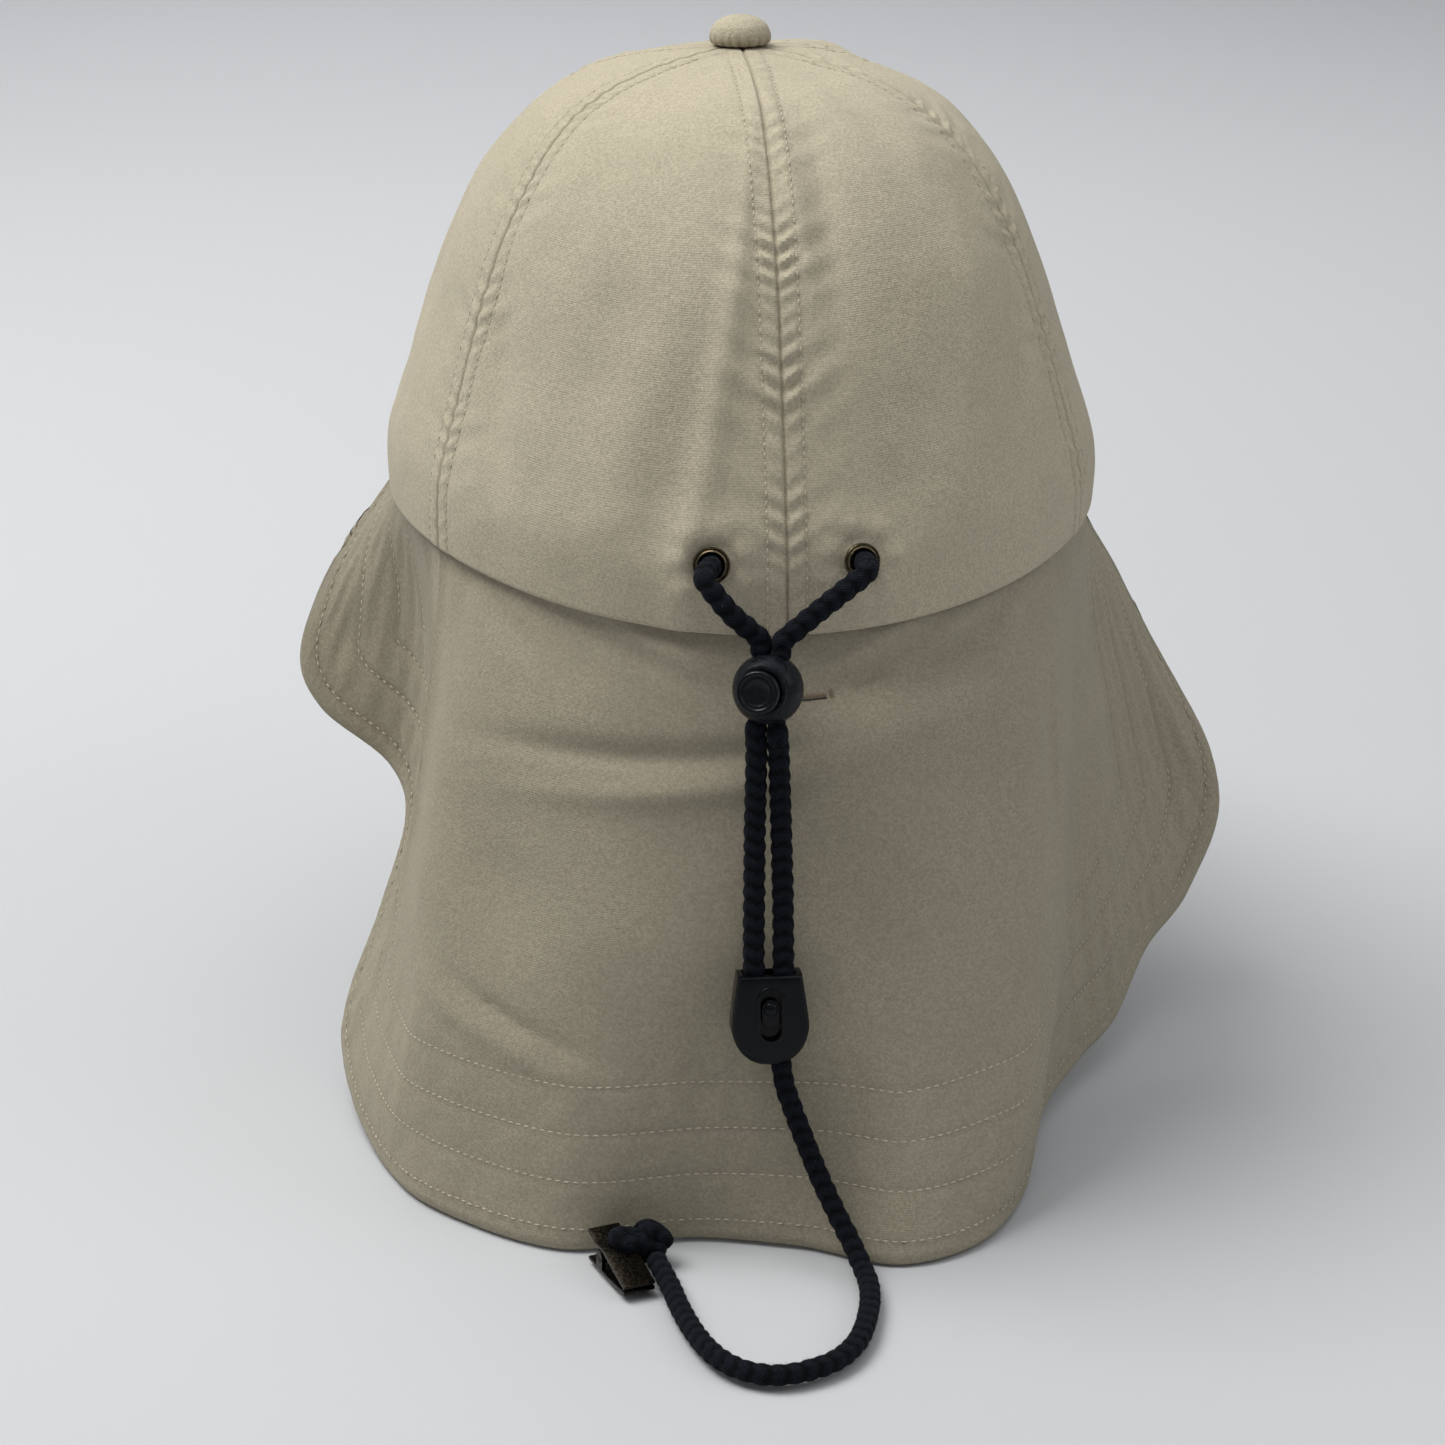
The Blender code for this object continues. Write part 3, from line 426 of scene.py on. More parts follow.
def bareGrid(name, columns, rows):
    # a flat grid of so many squares, with the column and row of each point
    bm = bmesh.new()
    bmesh.ops.create_grid(bm, x_segments=columns, y_segments=rows, size=0.5)
    mesh = bpy.data.meshes.new(name)
    bm.to_mesh(mesh)
    bm.free()
    flat = np.empty(len(mesh.vertices) * 3, np.float32)
    mesh.vertices.foreach_get("co", flat)
    flat = flat.reshape(-1, 3) + 0.5
    return mesh, np.rint(flat[:, 0] * columns).astype(int), np.rint(flat[:, 1] * rows).astype(int)


def shapeGrid(mesh, points, layerName, flat, low):
    # puts a grid's points in place, with their flat place on the cloth or cord and how much painted shade each gets
    mesh.vertices.foreach_set("co", points.astype(np.float32).ravel())
    corner = np.empty(len(mesh.loops), np.int32)
    mesh.loops.foreach_get("vertex_index", corner)
    layer = mesh.uv_layers.new(name=layerName)
    layer.data.foreach_set("uv", flat[corner].astype(np.float32).ravel())
    tone = mesh.attributes.new("low", "FLOAT", "POINT")
    tone.data.foreach_set("value", np.clip(low, 0, 1).astype(np.float32))


def gridMesh(name, across, upward, place):
    # a grid laid on place(across, upward), which gives points, flat sizes in metres and how much painted shade each
    # point gets
    mesh, i, j = bareGrid(name, len(across) - 1, len(upward) - 1)
    points, flat, low = place(np.asarray(across)[i], np.asarray(upward)[j])
    shapeGrid(mesh, points, "cloth", flat, low)
    mesh.update()
    mesh.shade_smooth()
    return mesh


def addWall(obj, thickness, edge=0.0, segments=2, offset=-1, even=False, sharp=55):
    wall = obj.modifiers.new("wall", "SOLIDIFY")
    wall.thickness = thickness
    wall.offset = offset
    wall.use_even_offset = even
    if edge:
        rounded = obj.modifiers.new("edge", "BEVEL")
        rounded.width = edge
        rounded.segments = segments
        rounded.limit_method = "ANGLE"
        rounded.angle_limit = math.radians(sharp)


def spunShape(profile, steps, closed=False):
    # a profile of radius and height turned about Z
    bm = bmesh.new()
    verts = [bm.verts.new((radius, 0.0, height)) for radius, height in profile]
    edges = [bm.edges.new(pair) for pair in zip(verts, verts[1:])]
    if closed:
        edges.append(bm.edges.new((verts[-1], verts[0])))
    bmesh.ops.spin(
        bm, geom=verts + edges, axis=(0, 0, 1), cent=(0, 0, 0), angle=2 * math.pi, steps=steps, use_merge=True
    )
    bmesh.ops.remove_doubles(bm, verts=bm.verts, dist=1e-6)
    bmesh.ops.recalc_face_normals(bm, faces=bm.faces)
    return bm


def softProfile(profile, count):
    t = np.linspace(0.0, 1.0, count)
    return [(max(float(r), 0.0), float(z)) for r, z in smoothRows(profile, t)]


def placeShape(bm, matrix):
    bmesh.ops.transform(bm, matrix=matrix, verts=bm.verts)
    return bm


def drum(radius, depth, segments=40):
    bm = bmesh.new()
    bmesh.ops.create_cone(bm, cap_ends=True, segments=segments, radius1=radius, radius2=radius, depth=depth)
    return bm


def box(size, matrix):
    bm = bmesh.new()
    bmesh.ops.create_cube(bm, size=1.0)
    return placeShape(bm, matrix @ Matrix.Diagonal((*size, 1.0)))


def bevelled(bm, edges, offset, segments):
    bmesh.ops.bevel(bm, geom=edges, offset=offset, segments=segments, profile=0.5, affect="EDGES", material=-1)
    return bm


def levelEdges(bm):
    return [e for e in bm.edges if abs(e.verts[0].co.z - e.verts[1].co.z) < 1e-6]


def plateShape(outline, low, high):
    # a flat outline made solid from one height to another
    bm = bmesh.new()
    face = bm.faces.new([bm.verts.new((x, y, low)) for x, y in outline])
    made = bmesh.ops.extrude_face_region(bm, geom=[face])
    bmesh.ops.translate(bm, vec=(0, 0, high - low), verts=newVerts(made))
    bmesh.ops.recalc_face_normals(bm, faces=bm.faces)
    return bm


def newVerts(made):
    return [part for part in made["geom"] if isinstance(part, bmesh.types.BMVert)]


def carve(obj, tools):
    # cuts or joins each (operation, bmesh) into the piece's own mesh and leaves no helper behind
    helpers = []
    for operation, bm in tools:
        helper = bpy.data.objects.new("helper", meshFrom(bm, "helper"))
        bpy.context.scene.collection.objects.link(helper)
        helper.hide_render = True
        modifier = obj.modifiers.new("tool", "BOOLEAN")
        modifier.operation = operation
        modifier.solver = "EXACT"
        modifier.object = helper
        helpers.append(helper)
    graph = bpy.context.evaluated_depsgraph_get()
    graph.update()
    old = obj.data
    carved = bpy.data.meshes.new_from_object(obj.evaluated_get(graph), depsgraph=graph)
    finish = old.materials[0]
    obj.modifiers.clear()
    obj.data = carved
    carved.materials.clear()
    carved.materials.append(finish)
    carved.polygons.foreach_set("material_index", np.zeros(len(carved.polygons), np.int32))
    bm = bmesh.new()
    bm.from_mesh(carved)
    bmesh.ops.remove_doubles(bm, verts=bm.verts, dist=2e-6)
    bmesh.ops.dissolve_degenerate(bm, edges=bm.edges, dist=2e-6)
    bm.to_mesh(carved)
    bm.free()
    carved.shade_smooth()
    carved.set_sharp_from_angle(angle=math.radians(38))
    for helper in helpers:
        mesh = helper.data
        bpy.data.objects.remove(helper)
        bpy.data.meshes.remove(mesh)
    bpy.data.meshes.remove(old)
    return obj


def turnedTo(x, y, z):
    return Matrix((x, y, z)).transposed().to_4x4()


def frameAlong(out, up, at):
    z = Vector(out).normalized()
    x = Vector(up).cross(z).normalized()
    return Matrix.Translation(at) @ turnedTo(x, z.cross(x), z)


def frameOnCloth(normal, ahead):
    # x along a row of stitches, z out of the cloth
    z = Vector(normal)
    x = (ahead - z * ahead.dot(z)).normalized()
    return turnedTo(x, z.cross(x), z)


# crown
cap = {
    "halfWidth": 0.0875, "halfLength": 0.103, "height": 0.112, "cloth": 0.0014,
    "rimDip": 0.0015, "rimLift": 0.009, "swell": 0.0016, "apexHole": 0.0024,
    "sideSeam": math.radians(61), "frontSeam": math.radians(119), "arc": 0.155, "meanRadius": 0.094,
    "rows": 216, "column": 0.00115,
}
crownLevels = [
    # rise, spread, front
    (0.000, 0.972, 0.970), (0.140, 0.972, 0.950), (0.280, 0.925, 0.890), (0.415, 0.872, 0.833),
    (0.545, 0.820, 0.780), (0.665, 0.756, 0.718), (0.780, 0.662, 0.634), (0.870, 0.556, 0.540),
    (0.935, 0.418, 0.410), (0.980, 0.228, 0.225), (1.000, 0.020, 0.020),
]
seamTurns = np.array([-math.pi, -cap["frontSeam"], -cap["sideSeam"], 0.0, cap["sideSeam"], cap["frontSeam"], math.pi])


def rimHeight(turn):
    return cap["rimLift"] * np.sin(np.minimum(np.abs(turn), math.pi / 2)) ** 2 - cap["rimDip"]


def crownAt(turn, climb):
    # the smooth outer face: turn from the centre back, positive towards +X, and climb from the rim to the top
    rise, spread, front = smoothRows(crownLevels, climb).T
    spread = spread + (front - spread) * (0.5 - 0.5 * np.cos(turn))
    size = np.minimum(np.abs(turn), math.pi)
    swell = np.zeros_like(size)
    for low, high in ((0.0, cap["sideSeam"]), (cap["sideSeam"], cap["frontSeam"]), (cap["frontSeam"], math.pi)):
        within = (size >= low) & (size <= high)
        swell = np.where(within, np.sin(math.pi * (size - low) / (high - low)), swell)
    swell = cap["swell"] * swell * np.sin(math.pi * np.minimum(climb, 1.0))
    low = rimHeight(turn)
    side = cap["halfWidth"] * spread + swell
    back = cap["halfLength"] * spread + swell
    return np.stack([side * np.sin(turn), -back * np.cos(turn), low + (cap["height"] - low) * rise], axis=1)


def crownNormal(turn, climb):
    return normalsOf(crownAt, turn, climb, (-math.inf, math.inf), (0.0, 1.0))


def crownWidth(turn, climb):
    # metres round the crown for each radian of turn
    step = 1e-3
    return np.linalg.norm(crownAt(turn + step, climb) - crownAt(turn - step, climb), axis=1) / (2 * step)


def climbAt(turn, height):
    low, high = np.zeros_like(turn), np.ones_like(turn)
    wanted = rimHeight(turn) + height
    for _ in range(22):
        middle = 0.5 * (low + high)
        under = crownAt(turn, middle)[:, 2] < wanted
        low, high = np.where(under, middle, low), np.where(under, high, middle)
    return 0.5 * (low + high)


def crownInside(turn, climb, depth):
    return crownAt(turn, climb) - np.reshape(depth, (-1, 1)) * crownNormal(turn, climb)


eyelet = {"spacing": 0.0335, "rise": 0.0158, "hole": 0.0035, "punch": 0.010}
# the cloth round an eyelet: flat under the metal, then a sunk ring and short gathers
eyeletLook = {
    "flat": 0.0040, "flatEnd": 0.0055, "ring": 0.0048, "ringWidth": 0.0008, "ringDepth": 0.00045, "gathers": 7,
    "gather": 0.0082, "gatherWidth": 0.0026, "gatherRise": 0.00045, "gatherDepth": 0.00028,
}
eyeletTurn = math.asin(0.5 * eyelet["spacing"] / cap["halfWidth"])


def eyeletFrame(side):
    turn = np.array([side * eyeletTurn])
    climb = climbAt(turn, np.array([eyelet["rise"]]))
    return frameAlong(crownNormal(turn, climb)[0], (0, 0, 1), crownAt(turn, climb)[0])


eyeletFrames = {side: eyeletFrame(side) for side in (-1, 1)}

seamLook = {
    "dip": 0.00060, "dipWidth": 0.00040, "band": 0.00026, "row": 0.0043, "groove": 0.00030, "grooveWidth": 0.0006,
    "slant": 0.6, "pucker": 0.0046, "puckerDepth": 0.00028, "centrePucker": 0.00058, "puckerReach": 0.0022,
    "slowShare": 0.55, "slowReach": 0.0085, "slowWidth": 0.0048, "overlap": 0.00016,
    "seamShade": 0.45, "rowShade": 0.22, "rimRound": 0.0006, "clouds": ((0.00075, 0.024, 3.1), (0.00022, 0.0085, 7.7)),
}
# soft folds of the crown: turn in degrees, climb, half widths of both, lean in degrees per climb, height in mm
crownFolds = [
    (-9.3, 0.38, 2.7, 0.36, 18.0, 1.9),
    (-4.0, 0.60, 2.2, 0.13, 12.0, -0.9),
    (4.8, 0.62, 2.6, 0.18, -6.0, 1.4),
    (11.5, 0.60, 3.0, 0.15, 10.0, -1.1),
    (-52.5, 0.30, 3.6, 0.16, -30.0, -2.2),
    (-31.0, 0.36, 7.0, 0.16, 22.0, -1.3),
    (-22.0, 0.30, 5.0, 0.16, 24.0, 1.0),
    (49.0, 0.31, 3.6, 0.14, 48.0, -1.7),
    (38.0, 0.40, 5.0, 0.16, 30.0, 1.1),
    (-19.0, 0.17, 4.0, 0.06, 20.0, -0.8),
    (18.5, 0.17, 4.0, 0.06, -20.0, -0.8),
    (28.0, 0.20, 5.0, 0.09, 16.0, 0.9),
    (-50.0, 0.66, 6.0, 0.13, 10.0, 0.9),
    (34.0, 0.72, 6.0, 0.11, 10.0, -1.0),
    (-88.0, 0.45, 10.0, 0.20, 8.0, -1.4),
    (88.0, 0.40, 9.0, 0.22, -8.0, -1.4),
    (-104.0, 0.30, 6.0, 0.16, 6.0, 1.0),
    (104.0, 0.55, 7.0, 0.14, -6.0, 1.1),
    (138.0, 0.80, 13.0, 0.09, 0.0, 2.6),
    (140.0, 0.45, 11.0, 0.20, 8.0, -1.2),
    (-150.0, 0.35, 9.0, 0.18, -8.0, -1.1),
    (160.0, 0.60, 7.0, 0.14, 0.0, 0.8),
]


def crownRelief(turn, climb, points):
    # how far the cloth stands out from the smooth crown, in metres
    look = seamLook
    away = np.abs(turn[:, None] - seamTurns[None, :])
    seam = away.argmin(axis=1) % 6
    reach = away.min(axis=1) * crownWidth(turn, climb)
    upward = climb * cap["arc"]
    out = -look["dip"] * np.exp(-((reach / look["dipWidth"]) ** 2))
    out += look["band"] * (1 - smoothStep(reach, look["row"] - 0.0002, look["row"] + 0.0010))
    out -= look["groove"] * bell(reach, look["row"], look["grooveWidth"])
    # slanting puckers between the rows, and slower ones beside them
    phase = 2 * math.pi * (upward - look["slant"] * reach) / look["pucker"]
    phase += 1.5 * np.sin(upward * 97 + seam * 1.7) + 1.2 * np.sin(upward * 43 + seam * 2.9)
    depth = np.full_like(turn, look["puckerDepth"])
    depth = np.where(seam == 3, look["centrePucker"] * (0.35 + 0.65 * bell(climb, 0.40, 0.26)), depth)
    depth *= 0.75 + 0.5 * np.sin(upward * 211 + seam)
    depth *= smoothStep(climb, 0.01, 0.06) * (1 - smoothStep(climb, 0.9, 0.98))
    out += depth * np.sin(phase) * bell(reach, look["puckerReach"], look["puckerReach"])
    slow = look["slowShare"] * depth * np.sin(0.5 * phase + 0.7)
    out += slow * bell(reach, look["slowReach"], look["slowWidth"])
    out += foldsAt(crownFolds, np.degrees(turn), climb)
    calm = smoothStep(climb, 0.0, 0.08) * (1 - smoothStep(climb, 0.86, 0.97))
    out += calm * slowCloth(points, look["clouds"])
    for side, place in eyeletFrames.items():
        ring = eyeletLook
        local = np.linalg.norm(points - np.array(place.translation), axis=1)
        out = np.where(local < ring["flatEnd"], out * smoothStep(local, ring["flat"], ring["flatEnd"]), out)
        spoke = np.arctan2(points[:, 2] - place.translation[2], points[:, 0] - place.translation[0])
        out -= ring["ringDepth"] * bell(local, ring["ring"], ring["ringWidth"])
        rise = ring["gatherRise"] + ring["gatherDepth"] * np.sin(ring["gathers"] * spoke + side)
        out += rise * bell(local, ring["gather"], ring["gatherWidth"])
    out -= look["rimRound"] * bell(upward, 0.0, 0.0006)
    return out, reach


def crownSkin(turn, climb):
    base = crownAt(turn, climb)
    out, reach = crownRelief(turn, climb, base)
    normal = crownNormal(turn, climb)
    return base + normal * out[:, None], normal, reach


def edgeSpread(total, near, step):
    # positions from 0 to total, close together by both ends
    near = [n for n in near if n < 0.35 * total]
    middle = np.linspace(near[-1], total - near[-1], max(3, round((total - 2 * near[-1]) / step)))
    return np.concatenate([near[:-1], middle, [total - n for n in reversed(near[:-1])]]) / total


panelRows = [
    ("cloth_back_left", "crown_panel_back_left", -cap["sideSeam"], 0.0),
    ("cloth_back_right", "crown_panel_back_right", 0.0, cap["sideSeam"]),
    ("cloth_side_left", "crown_panel_side_left", -cap["frontSeam"], -cap["sideSeam"]),
    ("cloth_side_right", "crown_panel_side_right", cap["sideSeam"], cap["frontSeam"]),
    ("cloth_front_left", "crown_panel_front_left", -math.pi, -cap["frontSeam"]),
    ("cloth_front_right", "crown_panel_front_right", cap["frontSeam"], math.pi),
]
seamSteps = [
    0.0, 0.0003, 0.0006, 0.0010, 0.0016, 0.0022, 0.0028, 0.0034, 0.0039, 0.0043, 0.0047, 0.0053, 0.0062, 0.0073, 0.0085,
]
rimSteps = [0.0, 0.0016, 0.0035, 0.0065]


def climbForRadius(radius):
    climbs = np.linspace(0.6, 1.0, 4000)
    return float(climbs[np.abs(crownAt(np.zeros(4000), climbs)[:, 1]) > radius][-1])


crownTop = climbForRadius(cap["apexHole"])


def makeCrown():
    panels = []
    for name, node, first, last in panelRows:
        overlap = seamLook["overlap"] / cap["halfWidth"]

        def place(u, v, first=first, last=last):
            turn = first - overlap + (last - first + 2 * overlap) * u
            points, _, reach = crownSkin(turn, v)
            # painted shade along the seam and in its stitch rows
            low = seamLook["seamShade"] * bell(reach, 0.0, 0.00045)
            low += seamLook["rowShade"] * bell(reach, seamLook["row"], 0.0005)
            around = turn * cap["halfWidth"] * np.cos(0.5 * math.pi * v * 0.8)
            return points, np.stack([around, v * cap["arc"]], axis=1), low

        across = edgeSpread((last - first) * cap["meanRadius"], seamSteps, cap["column"])
        upward = np.concatenate([rimSteps, np.linspace(0.012, crownTop, cap["rows"])])
        panel = addPiece(name, gridMesh(name, across, upward, place), khakiCloth, "cap", node, slotName="khaki_cloth")
        addWall(panel, cap["cloth"])
        panels.append(panel)
    for side, panel in ((-1, panels[0]), (1, panels[1])):
        carve(panel, [("DIFFERENCE", placeShape(drum(eyelet["hole"], eyelet["punch"]), eyeletFrames[side]))])


makeCrown()
print("crown made")


# stitches
stitchLook = {
    "pitch": 0.0021, "length": 0.00165, "width": 0.00046, "height": 0.00034, "lift": 0.00005, "step": 0.0005,
    "jump": 0.004,
}


def threadShape(name, length, width, height):
    bm = bmesh.new()
    bmesh.ops.create_icosphere(bm, subdivisions=1, radius=0.5)
    bmesh.ops.scale(bm, vec=(length, width, height), verts=bm.verts)
    return meshFrom(bm, name, 180.0)


def scatter(name, shape, places, finish, slotName="khaki_cloth"):
    # one mesh of many copies of a small shape
    bm = bmesh.new()
    for place in places:
        copy = shape.copy()
        copy.transform(place)
        bm.from_mesh(copy)
        bpy.data.meshes.remove(copy)
    return addPiece(name, meshFrom(bm, name, 180.0), finish, "cap", slotName=slotName)


def stitchPlaces(points, normals):
    # stitches end to end along a row of points, broken where the row jumps
    look = stitchLook
    places = []
    gaps = np.linalg.norm(np.diff(points, axis=0), axis=1)
    starts = [0, *[int(i) + 1 for i in np.nonzero(gaps > look["jump"])[0]], len(points)]
    for first, last in zip(starts, starts[1:]):
        if last - first < 4:
            continue
        run = respaced(np.concatenate([points[first:last], normals[first:last]], axis=1), look["step"])
        gone = runAlong(run)
        for k in range(int(gone[-1] / look["pitch"])):
            middle = (k + 0.5) * look["pitch"]
            at = [np.interp(middle, gone, run[:, c]) for c in range(6)]
            ahead, before = ([np.interp(middle + d, gone, run[:, c]) for c in range(3)] for d in (0.001, -0.001))
            z = Vector(at[3:]).normalized()
            turned = frameOnCloth(z, Vector(ahead) - Vector(before))
            places.append(Matrix.Translation(Vector(at[:3]) + z * look["lift"]) @ turned)
    return places


seamStitch = threadShape("seamStitch", stitchLook["length"], stitchLook["width"], stitchLook["height"])


def makeSeamStitches():
    places = []
    climbs = np.linspace(0.012, 0.93, 420)
    for seam in seamTurns[:-1]:
        share = seamLook["row"] / np.maximum(crownWidth(np.full_like(climbs, seam), climbs), 1e-4)
        clear = share < 0.42
        for side in (-1, 1):
            turn = seam + side * share
            turn = np.where(turn < -math.pi, turn + 2 * math.pi, turn)
            points, normals, _ = crownSkin(turn, climbs)
            places += stitchPlaces(points[clear], normals[clear])
    scatter("thread_crown", seamStitch, places, khakiThread)


makeSeamStitches()


# flap
flap = {
    "halfTurn": math.radians(112), "drop": 0.138, "tuck": 0.009, "gap": 0.0006, "fall": 0.0015, "straight": 0.035,
    "cloth": 0.0012, "rows": (0.0050, 0.0160, 0.0270, 0.0380), "edgeLength": 0.62, "rowStart": 0.16,
    "flatWidth": 0.50, "flatHeight": 0.15,
}
flapFolds = [
    # turn, edge side, edge back, drop, waist side, waist back
    (-1.000, -0.935, -0.360, 0.000, -0.925, -0.364), (-0.946, -1.135, -0.262, 0.130, -1.020, -0.291),
    (-0.884, -1.240, -0.175, 0.278, -1.100, -0.194), (-0.821, -1.190, -0.107, 0.375, -1.070, -0.117),
    (-0.759, -1.001, -0.039, 0.472, -0.926, -0.019), (-0.696, -0.961, 0.039, 0.567, -0.869, 0.136),
    (-0.625, -1.040, 0.117, 0.707, -0.869, 0.291), (-0.554, -1.153, 0.209, 0.928, -0.926, 0.485),
    (-0.473, -1.078, 0.617, 1.000, -0.926, 0.718), (-0.375, -0.915, 0.934, 1.000, -0.777, 0.893),
    (-0.223, -0.602, 1.160, 1.000, -0.491, 1.049), (-0.071, -0.260, 1.126, 1.000, -0.171, 1.087),
    (0.071, 0.000, 1.183, 1.000, 0.137, 1.097), (0.205, 0.253, 1.297, 1.000, 0.411, 1.049),
    (0.321, 0.489, 1.206, 1.000, 0.640, 0.922), (0.420, 0.632, 0.991, 1.000, 0.766, 0.757),
    (0.509, 0.717, 0.771, 0.971, 0.823, 0.583), (0.589, 0.883, 0.485, 0.951, 0.869, 0.408),
    (0.670, 1.049, 0.291, 0.923, 0.960, 0.252), (0.750, 1.183, 0.117, 0.843, 1.051, 0.078),
    (0.821, 1.342, -0.019, 0.768, 1.143, -0.058), (0.893, 1.456, -0.136, 0.614, 1.189, -0.165),
    (0.946, 1.345, -0.233, 0.430, 1.131, -0.262), (1.000, 0.960, -0.360, 0.000, 0.948, -0.364),
]


def flapAt(share, level):
    # share from the front left corner to the front right, level -1 at the tucked top, 0 at the rim, 1 at the edge
    turnShare, side, back, drop, waistSide, waistBack = smoothRows(flapFolds, share).T
    turn = turnShare * flap["halfTurn"]
    climb = np.zeros_like(turn)
    tucked = level < 0
    if tucked.any():
        climb[tucked] = climbAt(turn[tucked], -level[tucked] * flap["tuck"])
    top = crownInside(turn, climb, cap["cloth"] + flap["gap"])
    top[:, 2] -= flap["fall"] * np.clip(level / flap["straight"], 0.0, 1.0)
    t = (np.maximum(level - flap["straight"], 0.0) / (1 - flap["straight"]))[:, None]
    wide, long = cap["halfWidth"], cap["halfLength"]
    edge = np.stack([side * wide, -back * long, -drop * flap["drop"]], axis=1)
    waist = np.stack([waistSide * wide, -waistBack * long, 0.5 * (top[:, 2] + edge[:, 2])], axis=1)
    return top * (1 - t) * (1 - 2 * t) + waist * 4 * t * (1 - t) + edge * t * (2 * t - 1)


def flapNormal(share, level):
    return normalsOf(flapAt, share, level, (0.0, 1.0), (-1.0, 1.0), -1.0)


edgeShares = np.linspace(0.0, 1.0, 2000)
edgePoints = flapAt(edgeShares, np.ones(2000))
edgeTree = kdtree.KDTree(len(edgePoints))
for index, point in enumerate(edgePoints.tolist()):
    edgeTree.insert(point, index)
edgeTree.balance()


def edgeReach(points):
    return np.array([edgeTree.find(p)[2] for p in points.tolist()])


# drapes of the flap: share, level, half widths of both, lean in share per level, height in mm
flapDrapes = [
    (0.446, 0.222, 0.034, 0.030, -1.5, -2.1),
    (0.457, 0.275, 0.028, 0.036, -1.2, 1.5),
    (0.556, 0.100, 0.050, 0.030, -0.3, -2.5),
    (0.550, 0.190, 0.046, 0.045, -0.3, 2.3),
    (0.547, 0.300, 0.022, 0.080, 0.10, 1.2),
    (0.585, 0.310, 0.022, 0.090, 0.10, -1.2),
    (0.393, 0.465, 0.020, 0.100, 0.10, -1.7),
    (0.400, 0.690, 0.014, 0.045, 0.68, 0.8),
    (0.610, 0.550, 0.016, 0.220, 0.00, 1.3),
    (0.650, 0.340, 0.016, 0.130, 0.00, -2.2),
    (0.340, 0.700, 0.018, 0.160, 0.03, -1.4),
    (0.365, 0.800, 0.014, 0.160, -0.03, 1.0),
    (0.500, 0.720, 0.050, 0.160, 0.00, 1.2),
    (0.455, 0.550, 0.022, 0.120, 0.10, 1.0),
    (0.520, 0.480, 0.024, 0.120, 0.15, -1.0),
    (0.690, 0.480, 0.018, 0.180, 0.03, -1.2),
    (0.220, 0.550, 0.020, 0.250, 0.00, 1.2),
    (0.133, 0.700, 0.018, 0.150, 0.00, -1.4),
    (0.800, 0.600, 0.020, 0.250, 0.00, 1.2),
    (0.881, 0.800, 0.018, 0.170, 0.00, -1.3),
    (0.527, 0.075, 0.0085, 0.034, -0.45, 1.3),
    (0.541, 0.090, 0.0085, 0.034, -0.45, -1.2),
    (0.572, 0.070, 0.0100, 0.028, -0.60, 1.2),
    (0.592, 0.085, 0.0100, 0.030, -0.60, -1.1),
    (0.455, 0.065, 0.0090, 0.028, 0.50, 0.9),
    (0.440, 0.075, 0.0090, 0.028, 0.50, -0.9),
    (0.622, 0.075, 0.0090, 0.030, -0.30, 0.9),
    (0.385, 0.085, 0.0110, 0.034, 0.30, -1.0),
]


# sharp creases, by the same six numbers
flapCreases = [
    (0.3035, 0.42, 0.0070, 0.42, 0.00, 2.4),
    (0.4080, 0.652, 0.0060, 0.034, 0.68, -1.5),
    (0.5620, 0.420, 0.0080, 0.060, 0.30, 0.7),
    (0.6560, 0.300, 0.0080, 0.200, 0.00, 1.2),
]


flapLook = {
    "groove": 0.00024, "wingGroove": 0.00016, "grooveWidth": 0.0009, "shade": 0.24, "wingShade": 0.16,
    "pucker": 0.0102, "puckerDepth": 0.00019, "wingPucker": 0.00006, "rightPucker": 0.00014, "rowMiddle": 0.0105,
    "rowGap": 0.011, "hemPucker": 0.0043, "hemDepth": 0.00022, "hemWidth": 0.0026, "hemStep": 0.00034,
    "edgeRound": 0.0008, "gather": 0.0013, "gatherSize": 0.012, "rimShade": 0.50,
    "clouds": ((0.0013, 0.036, 11.3), (0.00026, 0.015, 5.9), (0.00004, 0.006, 1.9)),
}


def rightWing(share):
    return smoothStep(share, 0.66, 0.78)


def bothWings(share):
    # 1 on the two wings, 0 on the back between them
    return 1 - smoothStep(share, 0.22, 0.34) + rightWing(share)


